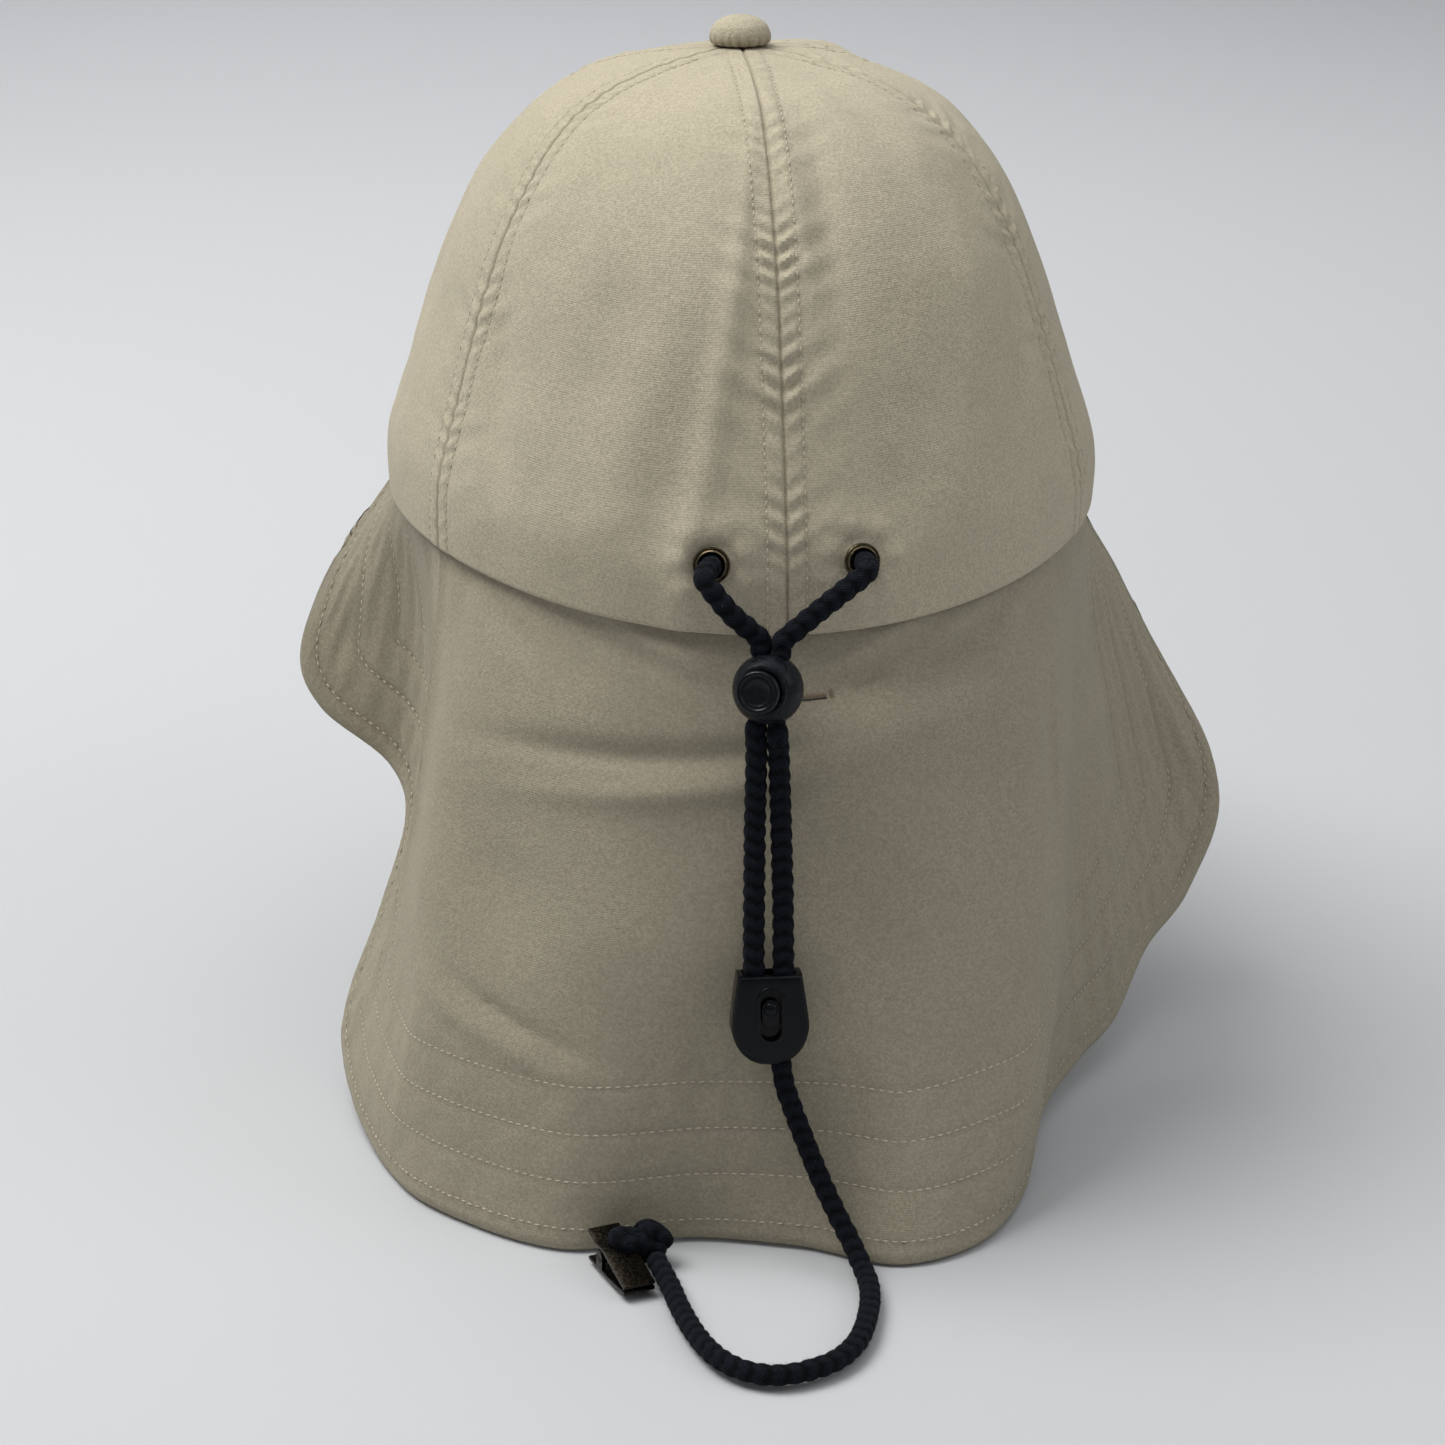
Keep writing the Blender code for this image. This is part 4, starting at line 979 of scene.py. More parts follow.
def flapRelief(share, level, points):
    # how far the cloth stands out from the smooth flap, in metres
    look = flapLook
    reach = edgeReach(points)
    along = share * flap["edgeLength"]
    wings = bothWings(share)
    out = np.zeros_like(share)
    for row in flap["rows"]:
        depth = (look["groove"] + look["wingGroove"] * wings) * smoothStep(level, 0.08, 0.26)
        out -= depth * bell(reach, row, look["grooveWidth"])
    # puckers between the rows, finer ones at the hem, and the hem's folded edge
    phase = 2 * math.pi * along / look["pucker"] + 1.9 * np.sin(along * 61) + 1.4 * np.sin(along * 23 + 1.0)
    sewn = (1 - smoothStep(reach, 0.040, 0.050)) * smoothStep(reach, 0.0015, 0.0085) * smoothStep(level, 0.08, 0.30)
    depth = look["puckerDepth"] + look["wingPucker"] * wings + look["rightPucker"] * rightWing(share)
    between = 0.55 + 0.45 * np.cos(2 * math.pi * (reach - look["rowMiddle"]) / look["rowGap"])
    out += sewn * depth * np.sin(phase) * between
    phase = 2 * math.pi * along / look["hemPucker"] + 1.6 * np.sin(along * 87)
    out += look["hemDepth"] * np.sin(phase) * bell(reach, flap["rows"][0], look["hemWidth"])
    out += look["hemStep"] * (1 - smoothStep(reach, 0.0048, 0.0062))
    out -= look["edgeRound"] * bell(reach, 0.0, 0.0007)
    out += foldsAt(flapDrapes, share, level) + foldsAt(flapCreases, share, level, sharp=True)
    gathers = cloudy(np.stack([along, 0 * along, 0 * along], axis=1), look["gatherSize"], 4.4)
    out += look["gather"] * gathers * bell(level, 0.07, 0.065)
    out += smoothStep(level, 0.02, 0.14) * slowCloth(points, look["clouds"])
    return out * smoothStep(level, -0.02, 0.03), reach


def flapSkin(share, level):
    base = flapAt(share, level)
    out, reach = flapRelief(share, level, base)
    normal = flapNormal(share, level)
    return base + normal * out[:, None], normal, reach


def makeFlap():
    def place(u, v):
        level = 1 - v
        points, _, reach = flapSkin(u, level)
        # painted shade in the stitch rows and a painted shadow under the crown's rim
        shade = (flapLook["shade"] + flapLook["wingShade"] * bothWings(u)) * smoothStep(level, 0.08, 0.26)
        low = flapLook["rimShade"] * bell(level, 0.0, 0.020)
        for row in flap["rows"]:
            low += shade * bell(reach, row, 0.0006)
        return points, np.stack([u * flap["flatWidth"], v * flap["flatHeight"]], axis=1), low

    # rows close together at the hem, and columns at the crease of the left wing
    hem = [0.95, 0.968, 0.982, 0.991, 0.9965, 1.0]
    upward = 1 - np.concatenate([np.linspace(-1.0, -0.1, 5), np.linspace(0.0, 0.93, 100), hem])
    across = np.concatenate([np.linspace(0.0, 1.0, 372), np.linspace(0.292, 0.315, 28)])
    mesh = gridMesh("cloth_flap", np.unique(np.round(across, 6)), upward[::-1], place)
    made = addPiece("cloth_flap", mesh, flapClothPaintedShade, "cap", "neck_flap", slotName="khaki_cloth")
    addWall(made, flap["cloth"])
    return made


flapPiece = makeFlap()
print("flap made")


def flapRow(distance):
    # where a row of stitches runs, this far from the edge
    shares = np.linspace(0.0, 1.0, 760)
    low, high = np.zeros_like(shares), np.ones_like(shares)
    for _ in range(15):
        middle = 0.5 * (low + high)
        further = edgeReach(flapAt(shares, middle)) > distance
        low, high = np.where(further, middle, low), np.where(further, high, middle)
    level = 0.5 * (low + high)
    kept = level > flap["rowStart"]
    return shares[kept], level[kept]


def makeFlapStitches():
    places = []
    for row in flap["rows"]:
        points, normals, _ = flapSkin(*flapRow(row))
        places += stitchPlaces(points, normals)
    return scatter("thread_flap", seamStitch, places, khakiThread)


flapThread = makeFlapStitches()
print("flap stitched")


# a worked buttonhole in the flap beside the ball lock: share and level of its ends, then sizes in metres
buttonhole = {
    "first": (0.494, 0.128), "last": (0.5145, 0.126), "bar": (0.5170, 0.126), "barHalf": 0.0020, "pitch": 0.00042,
    "edge": 0.00078, "length": 0.00130, "width": 0.00042, "height": 0.00034, "slit": 0.00050,
}


def flapSpot(share, level, above=0.0):
    # a place on the flap's skin: x along the flap, y up it, z out of it
    share, level = np.array([share]), np.array([level])
    points, normals, _ = flapSkin(share, level)
    ahead = flapSkin(share + 1e-3, level)[0][0] - points[0]
    turned = frameOnCloth(normals[0], Vector(ahead))
    return Matrix.Translation(Vector(points[0]) + turned.col[1].xyz * above) @ turned


def makeButtonhole():
    look = buttonhole
    shape = threadShape("holeStitch", look["length"], look["width"], look["height"])
    ends = [Vector(flapSpot(*look[end]).translation) for end in ("first", "last")]
    count = round((ends[1] - ends[0]).length / look["pitch"])
    across = Matrix.Rotation(0.5 * math.pi, 4, "Z")
    places, slits = [], []
    for k in range(count + 1):
        share, level = (a + (b - a) * k / count for a, b in zip(look["first"], look["last"]))
        for side in (-1, 1):
            places.append(flapSpot(share, level, side * look["edge"]) @ across)
        slits.append(flapSpot(share, level))
    rise = np.arange(-look["barHalf"], look["barHalf"], look["pitch"])
    places += [flapSpot(*look["bar"], float(y)) for y in rise]
    edges = scatter("thread_buttonhole", shape, places, tanThread)
    # the slit is a row of dark ovals, painted shade inside the cut
    slit = threadShape("slitShadeMark", 2 * look["pitch"], look["slit"], look["height"])
    return [edges, scatter("painted_slit_shade", slit, slits, slitShade)]


buttonholePieces = makeButtonhole()


# peak, casing and button
peak = {
    "length": 0.070, "thickness": 0.003, "halfTurn": math.radians(64), "fall": 0.014, "arch": 0.017,
    "roundness": 0.62, "flare": 0.10, "rows": (0.0045, 0.0105, 0.0165, 0.0225, 0.0285, 0.0345),
    "groove": 0.00028, "grooveWidth": 0.0008, "hemStep": 0.00030, "shade": 0.35, "edge": 0.0011,
    "clouds": ((0.00010, 0.009, 2.3), (0.00020, 0.03, 8.3)),
}


def peakReach(u):
    return peak["length"] * np.maximum(np.cos(0.5 * math.pi * (2 * u - 1)), 0.0) ** peak["roundness"]


def peakAt(u, v):
    turn = math.pi - peak["halfTurn"] * (2 * u - 1)
    root = crownAt(turn, np.zeros_like(turn))
    flat = root * np.array([1.0, 1.0, 0.0])
    root = root - cap["cloth"] * unit(flat)
    reach = peakReach(u)
    point = root + v[:, None] * np.stack([peak["flare"] * root[:, 0], reach, np.zeros_like(u)], axis=1)
    across = point[:, 0] / cap["halfWidth"]
    point[:, 2] = rimHeight(turn) - 0.0003
    point[:, 2] -= v * (peak["fall"] * reach / peak["length"] + peak["arch"] * across * across)
    return point


def peakNormal(u, v):
    return normalsOf(peakAt, u, v, (0.0, 1.0), (0.0, 1.0))


def peakSkin(u, v):
    base = peakAt(u, v)
    inset = (1 - v) * peakReach(u)
    out = peak["hemStep"] * (1 - smoothStep(inset, 0.0035, 0.0050))
    for row in peak["rows"]:
        out -= peak["groove"] * bell(inset, row, peak["grooveWidth"])
    out += slowCloth(base, peak["clouds"])
    normal = peakNormal(u, v)
    return base + normal * out[:, None], normal, inset


def makePeak():
    def place(u, v):
        points, _, inset = peakSkin(u, v)
        # painted shade in the stitch rows
        low = sum(peak["shade"] * bell(inset, row, 0.0006) for row in peak["rows"])
        return points, points[:, :2], low

    mesh = gridMesh("cloth_peak", np.linspace(0.0, 1.0, 180), np.linspace(0.0, 1.0, 84), place)
    made = addPiece("cloth_peak", mesh, peakCloth, "cap", "peak", slotName="khaki_cloth")
    addWall(made, peak["thickness"], peak["edge"], 3)
    places = []
    u = np.linspace(0.02, 0.98, 600)
    for row in peak["rows"]:
        v = 1 - row / np.maximum(peakReach(u), 1e-4)
        kept = v > 0.10
        points, normals, _ = peakSkin(u[kept], v[kept])
        places += stitchPlaces(points, normals)
    scatter("thread_peak", seamStitch, places, khakiThread)


casing = {
    "cloth": 0.001, "height": 0.027, "rise": 0.002, "slack": 0.0016, "swell": 0.0028,
    "swellTurn": math.radians(8), "clearance": 0.0003,
}
casingLevels = [
    # height and pocket, as shares
    (0.00, 0.22), (0.20, 0.22), (0.32, 0.70), (0.42, 1.00), (0.58, 1.00), (0.74, 1.00), (0.86, 0.50), (0.94, 0.00),
    (1.00, 0.00),
]
cordRadius = 0.0023


def pocketDepth(turn):
    away = (np.abs(turn) - eyeletTurn) / casing["swellTurn"]
    return cap["cloth"] + 2 * cordRadius + casing["slack"] + casing["swell"] * np.exp(-away * away)


def makeCasing():
    start = cap["cloth"] + casing["clearance"]
    lowest = cap["cloth"] + flap["gap"] + flap["cloth"] + casing["clearance"]

    def place(u, v):
        turn = cap["sideSeam"] * (2 * u - 1)
        height, pocket = smoothRows(casingLevels, v).T
        height = height * casing["height"]
        depth = start + (pocketDepth(turn) - start) * np.maximum(pocket, 0.0)
        behindFlap = height < flap["tuck"] + casing["clearance"]
        depth = np.where(behindFlap, np.maximum(depth, lowest), depth)
        climb = climbAt(turn, casing["rise"] + height)
        points = crownInside(turn, climb, depth + 0.0001 * (1 + cloudy(crownAt(turn, climb), 0.01)))
        return points, np.stack([turn * cap["halfWidth"], height], axis=1), np.zeros_like(u)

    mesh = gridMesh("cloth_casing", np.linspace(0, 1, 140), np.linspace(0, 1, 34), place)
    made = addPiece("cloth_casing", mesh, khakiCloth, "cap", "cord_casing", slotName="khaki_cloth")
    addWall(made, casing["cloth"])


button = {
    "radius": 0.00725, "height": 0.0068, "shank": 0.0018, "gap": 0.0003, "gathers": 19, "gatherDepth": 0.00046,
    "gatherHeight": 0.62, "gatherFoot": 0.6, "gatherShade": 0.8, "shadeHeight": 0.5, "footShade": 0.30,
}
buttonDome = [
    # radius and height, as shares
    (0.72, 0.0), (0.90, 0.02), (0.985, 0.13), (1.00, 0.28), (0.965, 0.45), (0.86, 0.66), (0.66, 0.84), (0.38, 0.955),
    (0.0, 1.0),
]


def gatherAt(vert):
    # the angle round the button, and 0 in a gather to 1 between two
    angle = math.atan2(vert.co.y, vert.co.x)
    return angle, abs(math.sin(0.5 * button["gathers"] * angle + 0.5 * math.sin(3 * angle))) ** 0.6


def makeButton():
    base = cap["height"] + button["gap"]
    bottom = cap["height"] - 2 * cap["cloth"]
    r, h, shank = button["radius"], button["height"], button["shank"]
    profile = [(0.0, bottom), (shank, bottom), (shank, base - 0.0002), (0.55 * r, base - 0.0001)]
    profile += softProfile([(x * r, base + z * h) for x, z in buttonDome], 34)
    profile[-1] = (0.0, base + h)
    bm = spunShape(profile, 96)
    for vert in bm.verts:
        radius = math.hypot(vert.co.x, vert.co.y)
        angle, fold = gatherAt(vert)
        low = max(0.0, 1.0 - (vert.co.z - base) / (button["gatherHeight"] * h))
        low *= min(1.0, radius / (button["gatherFoot"] * r))
        if vert.co.z > base - 0.0001 and radius > 1e-5:
            push = -button["gatherDepth"] * (1 - fold) * low
            vert.co.x += push * math.cos(angle)
            vert.co.y += push * math.sin(angle)
    mesh = meshFrom(bm, "cloth_button", 60.0)
    tone = mesh.attributes.new("low", "FLOAT", "POINT")
    # painted shade in the gathers and round the button's foot
    values = []
    for vert in mesh.vertices:
        low = max(0.0, 1.0 - (vert.co.z - base) / (button["shadeHeight"] * h))
        values.append(low * (button["gatherShade"] * (1 - gatherAt(vert)[1]) + button["footShade"]))
    tone.data.foreach_set("value", np.array(values, np.float32))
    layer = mesh.uv_layers.new(name="cloth")
    for loop in mesh.loops:
        layer.data[loop.index].uv = mesh.vertices[loop.vertex_index].co.xy
    addPiece("cloth_button", mesh, khakiCloth, "cap", "crown_button", slotName="khaki_cloth")


makePeak()
makeCasing()
makeButton()
print("peak, casing and button made")


# eyelets
eyeletProfile = [
    # radius, height in mm, round the rolled metal
    (2.80, -2.60), (2.80, -1.0), (2.80, 0.55), (2.88, 0.98), (3.08, 1.16), (3.30, 1.08), (3.42, 0.86), (3.55, 0.80),
    (3.72, 0.98), (3.90, 0.98), (4.06, 0.72), (4.10, 0.42), (4.02, 0.31), (3.30, 0.31), (3.20, 0.20), (3.20, -2.10),
    (3.30, -2.22), (3.80, -2.24), (3.86, -2.60), (3.60, -2.92), (2.96, -2.92),
]


def makeEyelets():
    for side, name in ((-1, "eyelet_left"), (1, "eyelet_right")):
        bm = spunShape([(0.001 * r, 0.001 * z) for r, z in eyeletProfile], 56, closed=True)
        for vert in bm.verts:
            angle = math.atan2(vert.co.y, vert.co.x)
            if vert.co.z > 0.0003:
                vert.co *= 1 + 0.006 * math.sin(3 * angle + side)
        mesh = meshFrom(placeShape(bm, eyeletFrames[side]), "brass_" + name, 50.0)
        addPiece("brass_" + name, mesh, hard["agedBrass"], "cap", name, slotName="aged_brass")


makeEyelets()
print("eyelets made")


# cords
strandFall = {
    -1: [(-0.0188, -0.1072, 0.0143), (-0.0163, -0.1094, 0.0108), (-0.0128, -0.1105, 0.0067)],
    1: [(0.0164, -0.1075, 0.0150), (0.0118, -0.1103, 0.0122), (0.0058, -0.1117, 0.0080), (0.0012, -0.1122, 0.0044)],
}
strandHang = {
    -1: [(-0.0083, -0.1152, -0.0222), (-0.0086, -0.1151, -0.0400), (-0.0089, -0.1169, -0.0560)],
    1: [(-0.0036, -0.1158, -0.0222), (-0.0029, -0.1154, -0.0400), (-0.0026, -0.1169, -0.0560)],
}
leashRoute = [
    (-0.0037, -0.1215, -0.0897), (-0.0033, -0.1220, -0.0935), (-0.0025, -0.1226, -0.0985),
    (-0.0009, -0.1231, -0.1036), (0.0017, -0.1242, -0.1109), (0.0050, -0.1264, -0.1195),
    (0.0083, -0.1298, -0.1266), (0.0110, -0.1340, -0.1316), (0.0128, -0.1395, -0.1350),
    (0.0133, -0.1465, -0.1357), (0.0120, -0.1563, -0.1357), (0.0084, -0.1687, -0.1357),
    (0.0030, -0.1772, -0.1357), (-0.0047, -0.1820, -0.1357), (-0.0126, -0.1830, -0.1357),
    (-0.0197, -0.1787, -0.1357), (-0.0246, -0.1700, -0.1357), (-0.0280, -0.1562, -0.1357),
    (-0.0298, -0.1436, -0.1355), (-0.0312, -0.1362, -0.1350), (-0.0324, -0.1312, -0.1343),
]
heldRoute = [
    # share of the way to the side seam, and how deep in the pocket
    (0.000, 0.35), (0.030, 0.78), (0.075, 1.00), (0.150, 1.00), (0.300, 1.00), (0.500, 1.00), (0.700, 1.00),
    (0.860, 1.00), (0.970, 1.00),
]
# reach from the lock's middle, cord's share of its thickness, distance from the middle line, in radii
lockSqueeze = [(0.45, 0.58, 0.63), (0.80, 0.80, 0.83), (1.05, 0.95, 0.98), (1.35, 1.00, 1.10)]
lock = {
    "centre": (-0.0058, -0.1145, -0.0086), "radius": 0.0077, "yaw": math.radians(20), "tilt": math.radians(13),
    "flat": 0.0062, "button": 0.0047, "stem": 0.0041, "thickness": 0.0019, "travel": 0.0020, "cordDepth": -0.0009,
    "web": 0.0010, "clearance": 0.0003,
}
clip = {
    "centre": (-0.0059, -0.1206, -0.0824), "height": 0.0204, "topWidth": 0.0141, "width": 0.0171,
    "thickness": 0.0074, "lean": math.radians(-7), "edge": 0.0011, "mouthWidth": 0.0118, "mouthDepth": 0.0036,
    "mouthEdge": 0.0009, "strandOffset": 0.00325, "slotWidth": 0.0047, "slotLength": 0.0116, "slotDepth": 0.0016,
    "slotRise": 0.0012, "rim": 0.0008, "rimFoot": 0.0010, "rimRise": 0.00035, "rimEdge": 0.00028,
    "leashOffset": 0.0022, "leashDepth": 0.0032, "clearance": 0.0003,
}


def lockFrame():
    yaw, tilt = lock["yaw"], lock["tilt"]
    out = Vector((-math.sin(yaw) * math.cos(tilt), -math.cos(yaw) * math.cos(tilt), math.sin(tilt)))
    return frameAlong(out, (0, 0, 1), lock["centre"])


lockPlace = lockFrame()
clipPlace = Matrix.Translation(clip["centre"]) @ Matrix.Rotation(0.5 * math.pi + clip["lean"], 4, "X")
# lump is one strand's length along the cord, rough the unevenness of the yarn
braid = {
    "carriers": 4, "lump": 0.0034, "relief": 0.20, "crest": 1.15, "fullness": 1.05, "around": 54, "step": 0.00030,
    "rough": 0.035, "roughSize": 0.0011, "endRound": 0.7,
}


def braidHeight(around, along, carriers, lump):
    # two crossing families of strands, each over and under the other; gives height and place on the strand
    a = carriers * around + along / lump
    b = carriers * around - along / lump
    overA = 0.5 + 0.5 * np.cos(math.pi * (b + np.floor(a)))
    overB = 0.5 - 0.5 * np.cos(math.pi * (a + np.floor(b)))
    crossA = np.sin(math.pi * (a - np.floor(a)))
    crossB = np.sin(math.pi * (b - np.floor(b)))
    highA = np.sqrt(np.maximum(crossA, 0)) * (0.35 + 0.65 * overA)
    highB = np.sqrt(np.maximum(crossB, 0)) * (0.35 + 0.65 * overB)
    top = highA > highB
    height = np.where(top, highA, highB)
    ply = np.where(top, a - np.floor(a), b - np.floor(b))
    run = np.where(top, b, a)
    return height, np.stack([ply, run], axis=1)


def pathFrames(points):
    # two directions across the path at each point, carried along so that they don't spin
    tangents = unit(np.gradient(points, axis=0))
    side = np.cross(tangents[0], (0.0, 0.0, 1.0))
    if np.linalg.norm(side) < 1e-3:
        side = np.cross(tangents[0], (1.0, 0.0, 0.0))
    sides = []
    for tangent in tangents:
        side = side - tangent * side.dot(tangent)
        side = side / np.linalg.norm(side)
        sides.append(side)
    sides = np.array(sides)
    return sides, np.cross(tangents, sides)


def braidMesh(name, points, radii, look=braid, twist=0.0, seed=0.0):
    sides, ups = pathFrames(points)
    gone = runAlong(points)
    end = np.minimum(gone, gone[-1] - gone)
    dome = np.sqrt(np.clip(1 - (1 - np.minimum(end / (look["endRound"] * cordRadius), 1.0)) ** 2, 0.0, 1.0))
    mesh, i, j = bareGrid(name, look["around"], len(points) - 1)
    around = (i % look["around"]) / look["around"]
    height, ply = braidHeight(around + twist, gone[j], look["carriers"], look["lump"])
    radius = radii[j] * (look["fullness"] - look["relief"] + look["relief"] * look["crest"] * height)
    angle = 2 * math.pi * around
    out = sides[j] * np.cos(angle)[:, None] + ups[j] * np.sin(angle)[:, None]
    yarn = cloudy(points[j] + 0.001 * out, look["roughSize"], seed)
    radius = radius * (1 + look["rough"] * yarn) * dome[j]
    low = 1 - smoothStep(height, 0.30, 0.80)
    shapeGrid(mesh, points[j] + out * radius[:, None], "ply", ply, low)
    bm = bmesh.new()
    bm.from_mesh(mesh)
    bmesh.ops.remove_doubles(bm, verts=bm.verts, dist=1e-6)
    bmesh.ops.recalc_face_normals(bm, faces=bm.faces)
    bm.to_mesh(mesh)
    bm.free()
    mesh.shade_smooth()
    return mesh


fuzzLook = {
    "width": 0.00007, "length": 0.00105, "shortest": 0.4, "spread": 0.9, "turn": 0.6, "root": 0.92,
    "perMetre": 15000, "clear": 0.0112,
}


def makeFuzz(name, points, radii, seed):
    # short loose fibres standing off a cord
    shape = bmesh.new()
    bmesh.ops.create_cone(shape, cap_ends=False, segments=3, radius1=0.5 * fuzzLook["width"], radius2=0.0, depth=1.0)
    hair = meshFrom(placeShape(shape, Matrix.Translation((0, 0, 0.5))), "hair", 180.0)
    random = np.random.default_rng(seed)
    sides, ups = pathFrames(points)
    places = []
    clear = np.ones(len(points), bool)
    for fitting in (lock["centre"], clip["centre"]):
        clear &= np.linalg.norm(points - np.array(fitting), axis=1) > fuzzLook["clear"]
    choice = np.nonzero(clear)[0]
    for _ in range(int(pathLength(points) * fuzzLook["perMetre"])):
        i = int(random.choice(choice))
        angle = random.uniform(0.0, 2 * math.pi)
        out = Vector(sides[i] * math.cos(angle) + ups[i] * math.sin(angle))
        z = (out + fuzzLook["spread"] * Vector(random.normal(0.0, fuzzLook["turn"], 3))).normalized()
        length = fuzzLook["length"] * random.uniform(fuzzLook["shortest"], 1.0)
        turned = z.to_track_quat("Z", "Y").to_matrix().to_4x4()
        foot = Vector(points[i]) + out * fuzzLook["root"] * float(radii[i])
        places.append(Matrix.Translation(foot) @ turned @ Matrix.Diagonal((1, 1, length, 1)))
    return scatter(name, hair, places, navyBraid, slotName="braided_cord")


def throughLock(side, way):
    # a strand's places in the ball lock's channel, from the middle to one end, with its share of thickness
    return [
        (lockPlace @ Vector((side * apart * cordRadius, way * reach * lock["radius"], lock["cordDepth"])), share)
        for reach, share, apart in lockSqueeze
    ]


def strandPath(side):
    start = [eyeletFrames[side] @ Vector((0, 0, depth)) for depth in (-cap["cloth"] - 0.00015, 0.0022)]
    end = 0.5 * clip["height"] - clip["mouthDepth"] + 2 * clip["clearance"]
    finish = [clipPlace @ Vector((side * clip["strandOffset"], y, 0)) for y in (end + 0.009, end)]
    upper = [(Vector(p), 1.0) for p in [*start, *strandFall[side]]]
    lower = [(Vector(p), 1.0) for p in [*strandHang[side], *finish]]
    rows = [*upper, *reversed(throughLock(side, 1)), *throughLock(side, -1), *lower]
    return [(*p, share) for p, share in rows]


def makeDrawcords():
    made = {}
    for side, name in ((-1, "drawcord_left"), (1, "drawcord_right")):
        fine = evenPoints(strandPath(side), braid["step"])
        points, radii = fine[:, :3], cordRadius * fine[:, 3]
        mesh = braidMesh("braid_" + name, points, radii, twist=0.02 * side, seed=side)
        obj = addPiece("braid_" + name, mesh, navyBraid, "cap", name, slotName="braided_cord")
        made[side] = (obj, points, makeFuzz("fuzz_" + name, points, radii, 5 + side))
    return made


def makeHeldCords():
    near = cap["cloth"] + 0.0008
    along, deep = np.array(heldRoute).T
    for side, name in ((-1, "drawcord_inner_left"), (1, "drawcord_inner_right")):
        start = eyeletFrames[side] @ Vector((0, 0, -near))
        turn = side * (eyeletTurn + (cap["sideSeam"] - eyeletTurn) * along)
        far = pocketDepth(turn) - 0.0005 - cordRadius
        climb = climbAt(turn, np.full_like(turn, eyelet["rise"]))
        points = crownInside(turn, climb, near + (far - near) * deep)
        fine = evenPoints(np.concatenate([[tuple(start)], points]), 0.0006)
        look = {**braid, "around": 30}
        mesh = braidMesh("braid_" + name, fine, np.full(len(fine), cordRadius), look=look, seed=3.0 * side)
        addPiece("braid_" + name, mesh, navyBraid, "cap", name, slotName="braided_cord")


drawcords = makeDrawcords()
makeHeldCords()
leashPoints = evenPoints(leashRoute, braid["step"])
leashRadii = np.full(len(leashPoints), cordRadius)
leashBraid = {**braid, "relief": 0.16, "fullness": 1.0}
leashMesh = braidMesh("braid_leash", leashPoints, leashRadii, look=leashBraid, seed=9.0)
leash = addPiece("braid_leash", leashMesh, navyBraid, "cap", "leash_cord", slotName="braided_cord")
leashFuzz = makeFuzz("fuzz_leash", leashPoints, leashRadii, 12)
print("cords made")


# ball lock
def stadiumRing(bm, halfWidth, halfDepth, height, sides=40):
    verts = []
    for i in range(sides):
        angle = 2 * math.pi * (i + 0.5) / sides
        x = halfDepth * math.cos(angle)
        x += math.copysign(halfWidth - halfDepth, x)
        verts.append(bm.verts.new((x, height, lock["cordDepth"] + halfDepth * math.sin(angle))))
    return [bm.edges.new(pair) for pair in zip(verts, [*verts[1:], verts[0]])]


def channelSize(share, apart):
    return (apart + share) * cordRadius + 2 * lock["clearance"], share * cordRadius + 2 * lock["clearance"]


def channelShape():
    # the pinched channel that both strands run through
    bm = bmesh.new()
    sections = [(*channelSize(share, apart), reach * lock["radius"]) for reach, share, apart in lockSqueeze]
    sections = [(w, d, -h) for w, d, h in reversed(sections)] + sections
    rings = [stadiumRing(bm, *section) for section in sections]
    for ring, following in zip(rings, rings[1:]):
        bmesh.ops.bridge_loops(bm, edges=ring + following)
    bmesh.ops.contextual_create(bm, geom=rings[0])
    bmesh.ops.contextual_create(bm, geom=rings[-1])
    bmesh.ops.recalc_face_normals(bm, faces=bm.faces)
    return bm


# collar round the button: radius and height in mm
lockCollar = [
    (5.85, 5.05), (5.82, 5.22), (5.60, 5.30), (5.50, 5.45), (5.48, 5.90), (5.36, 6.12), (5.12, 6.20), (4.70, 6.19),
]


def makeLock():
    r = lock["radius"]
    _, share, apart = lockSqueeze[0]
    depth = channelSize(share, apart)[1]
    floor = lock["cordDepth"] - depth - lock["web"] - lock["travel"] - lock["clearance"]
    bore = lock["stem"] + lock["clearance"]
    profile = [(0.0, -r)]
    for i in range(1, 34):
        angle = math.radians(-90 + i * 4.15)
        radius, height = r * math.cos(angle), r * math.sin(angle)
        ridge = 0.00007 * math.exp(-((height + 0.0002) / 0.00025) ** 2)  # mould line
        profile.append((radius + ridge * math.cos(angle), height))
    profile += [(0.001 * x, 0.001 * z) for x, z in lockCollar]
    profile += [(bore + 0.0001, 0.00612), (bore, 0.00596), (bore, floor), (0.0, floor)]
    mesh = meshFrom(placeShape(spunShape(profile, 96), lockPlace), "slate_lock")
    obj = addPiece("slate_lock", mesh, hard["slatePlastic"], "cap", "cord_lock", slotName="slate_plastic")
    return carve(obj, [("DIFFERENCE", placeShape(channelShape(), lockPlace))])


# rim and dished face of the button: distance in from its edge and down from its top, in mm
buttonFace = [
    (0.0, 0.60), (0.12, 0.20), (0.40, 0.0), (0.90, 0.02), (1.15, 0.22), (1.30, 0.42), (1.70, 0.46), (1.90, 0.40),
    (2.10, 0.52), (2.80, 0.72), (3.80, 0.82),
]


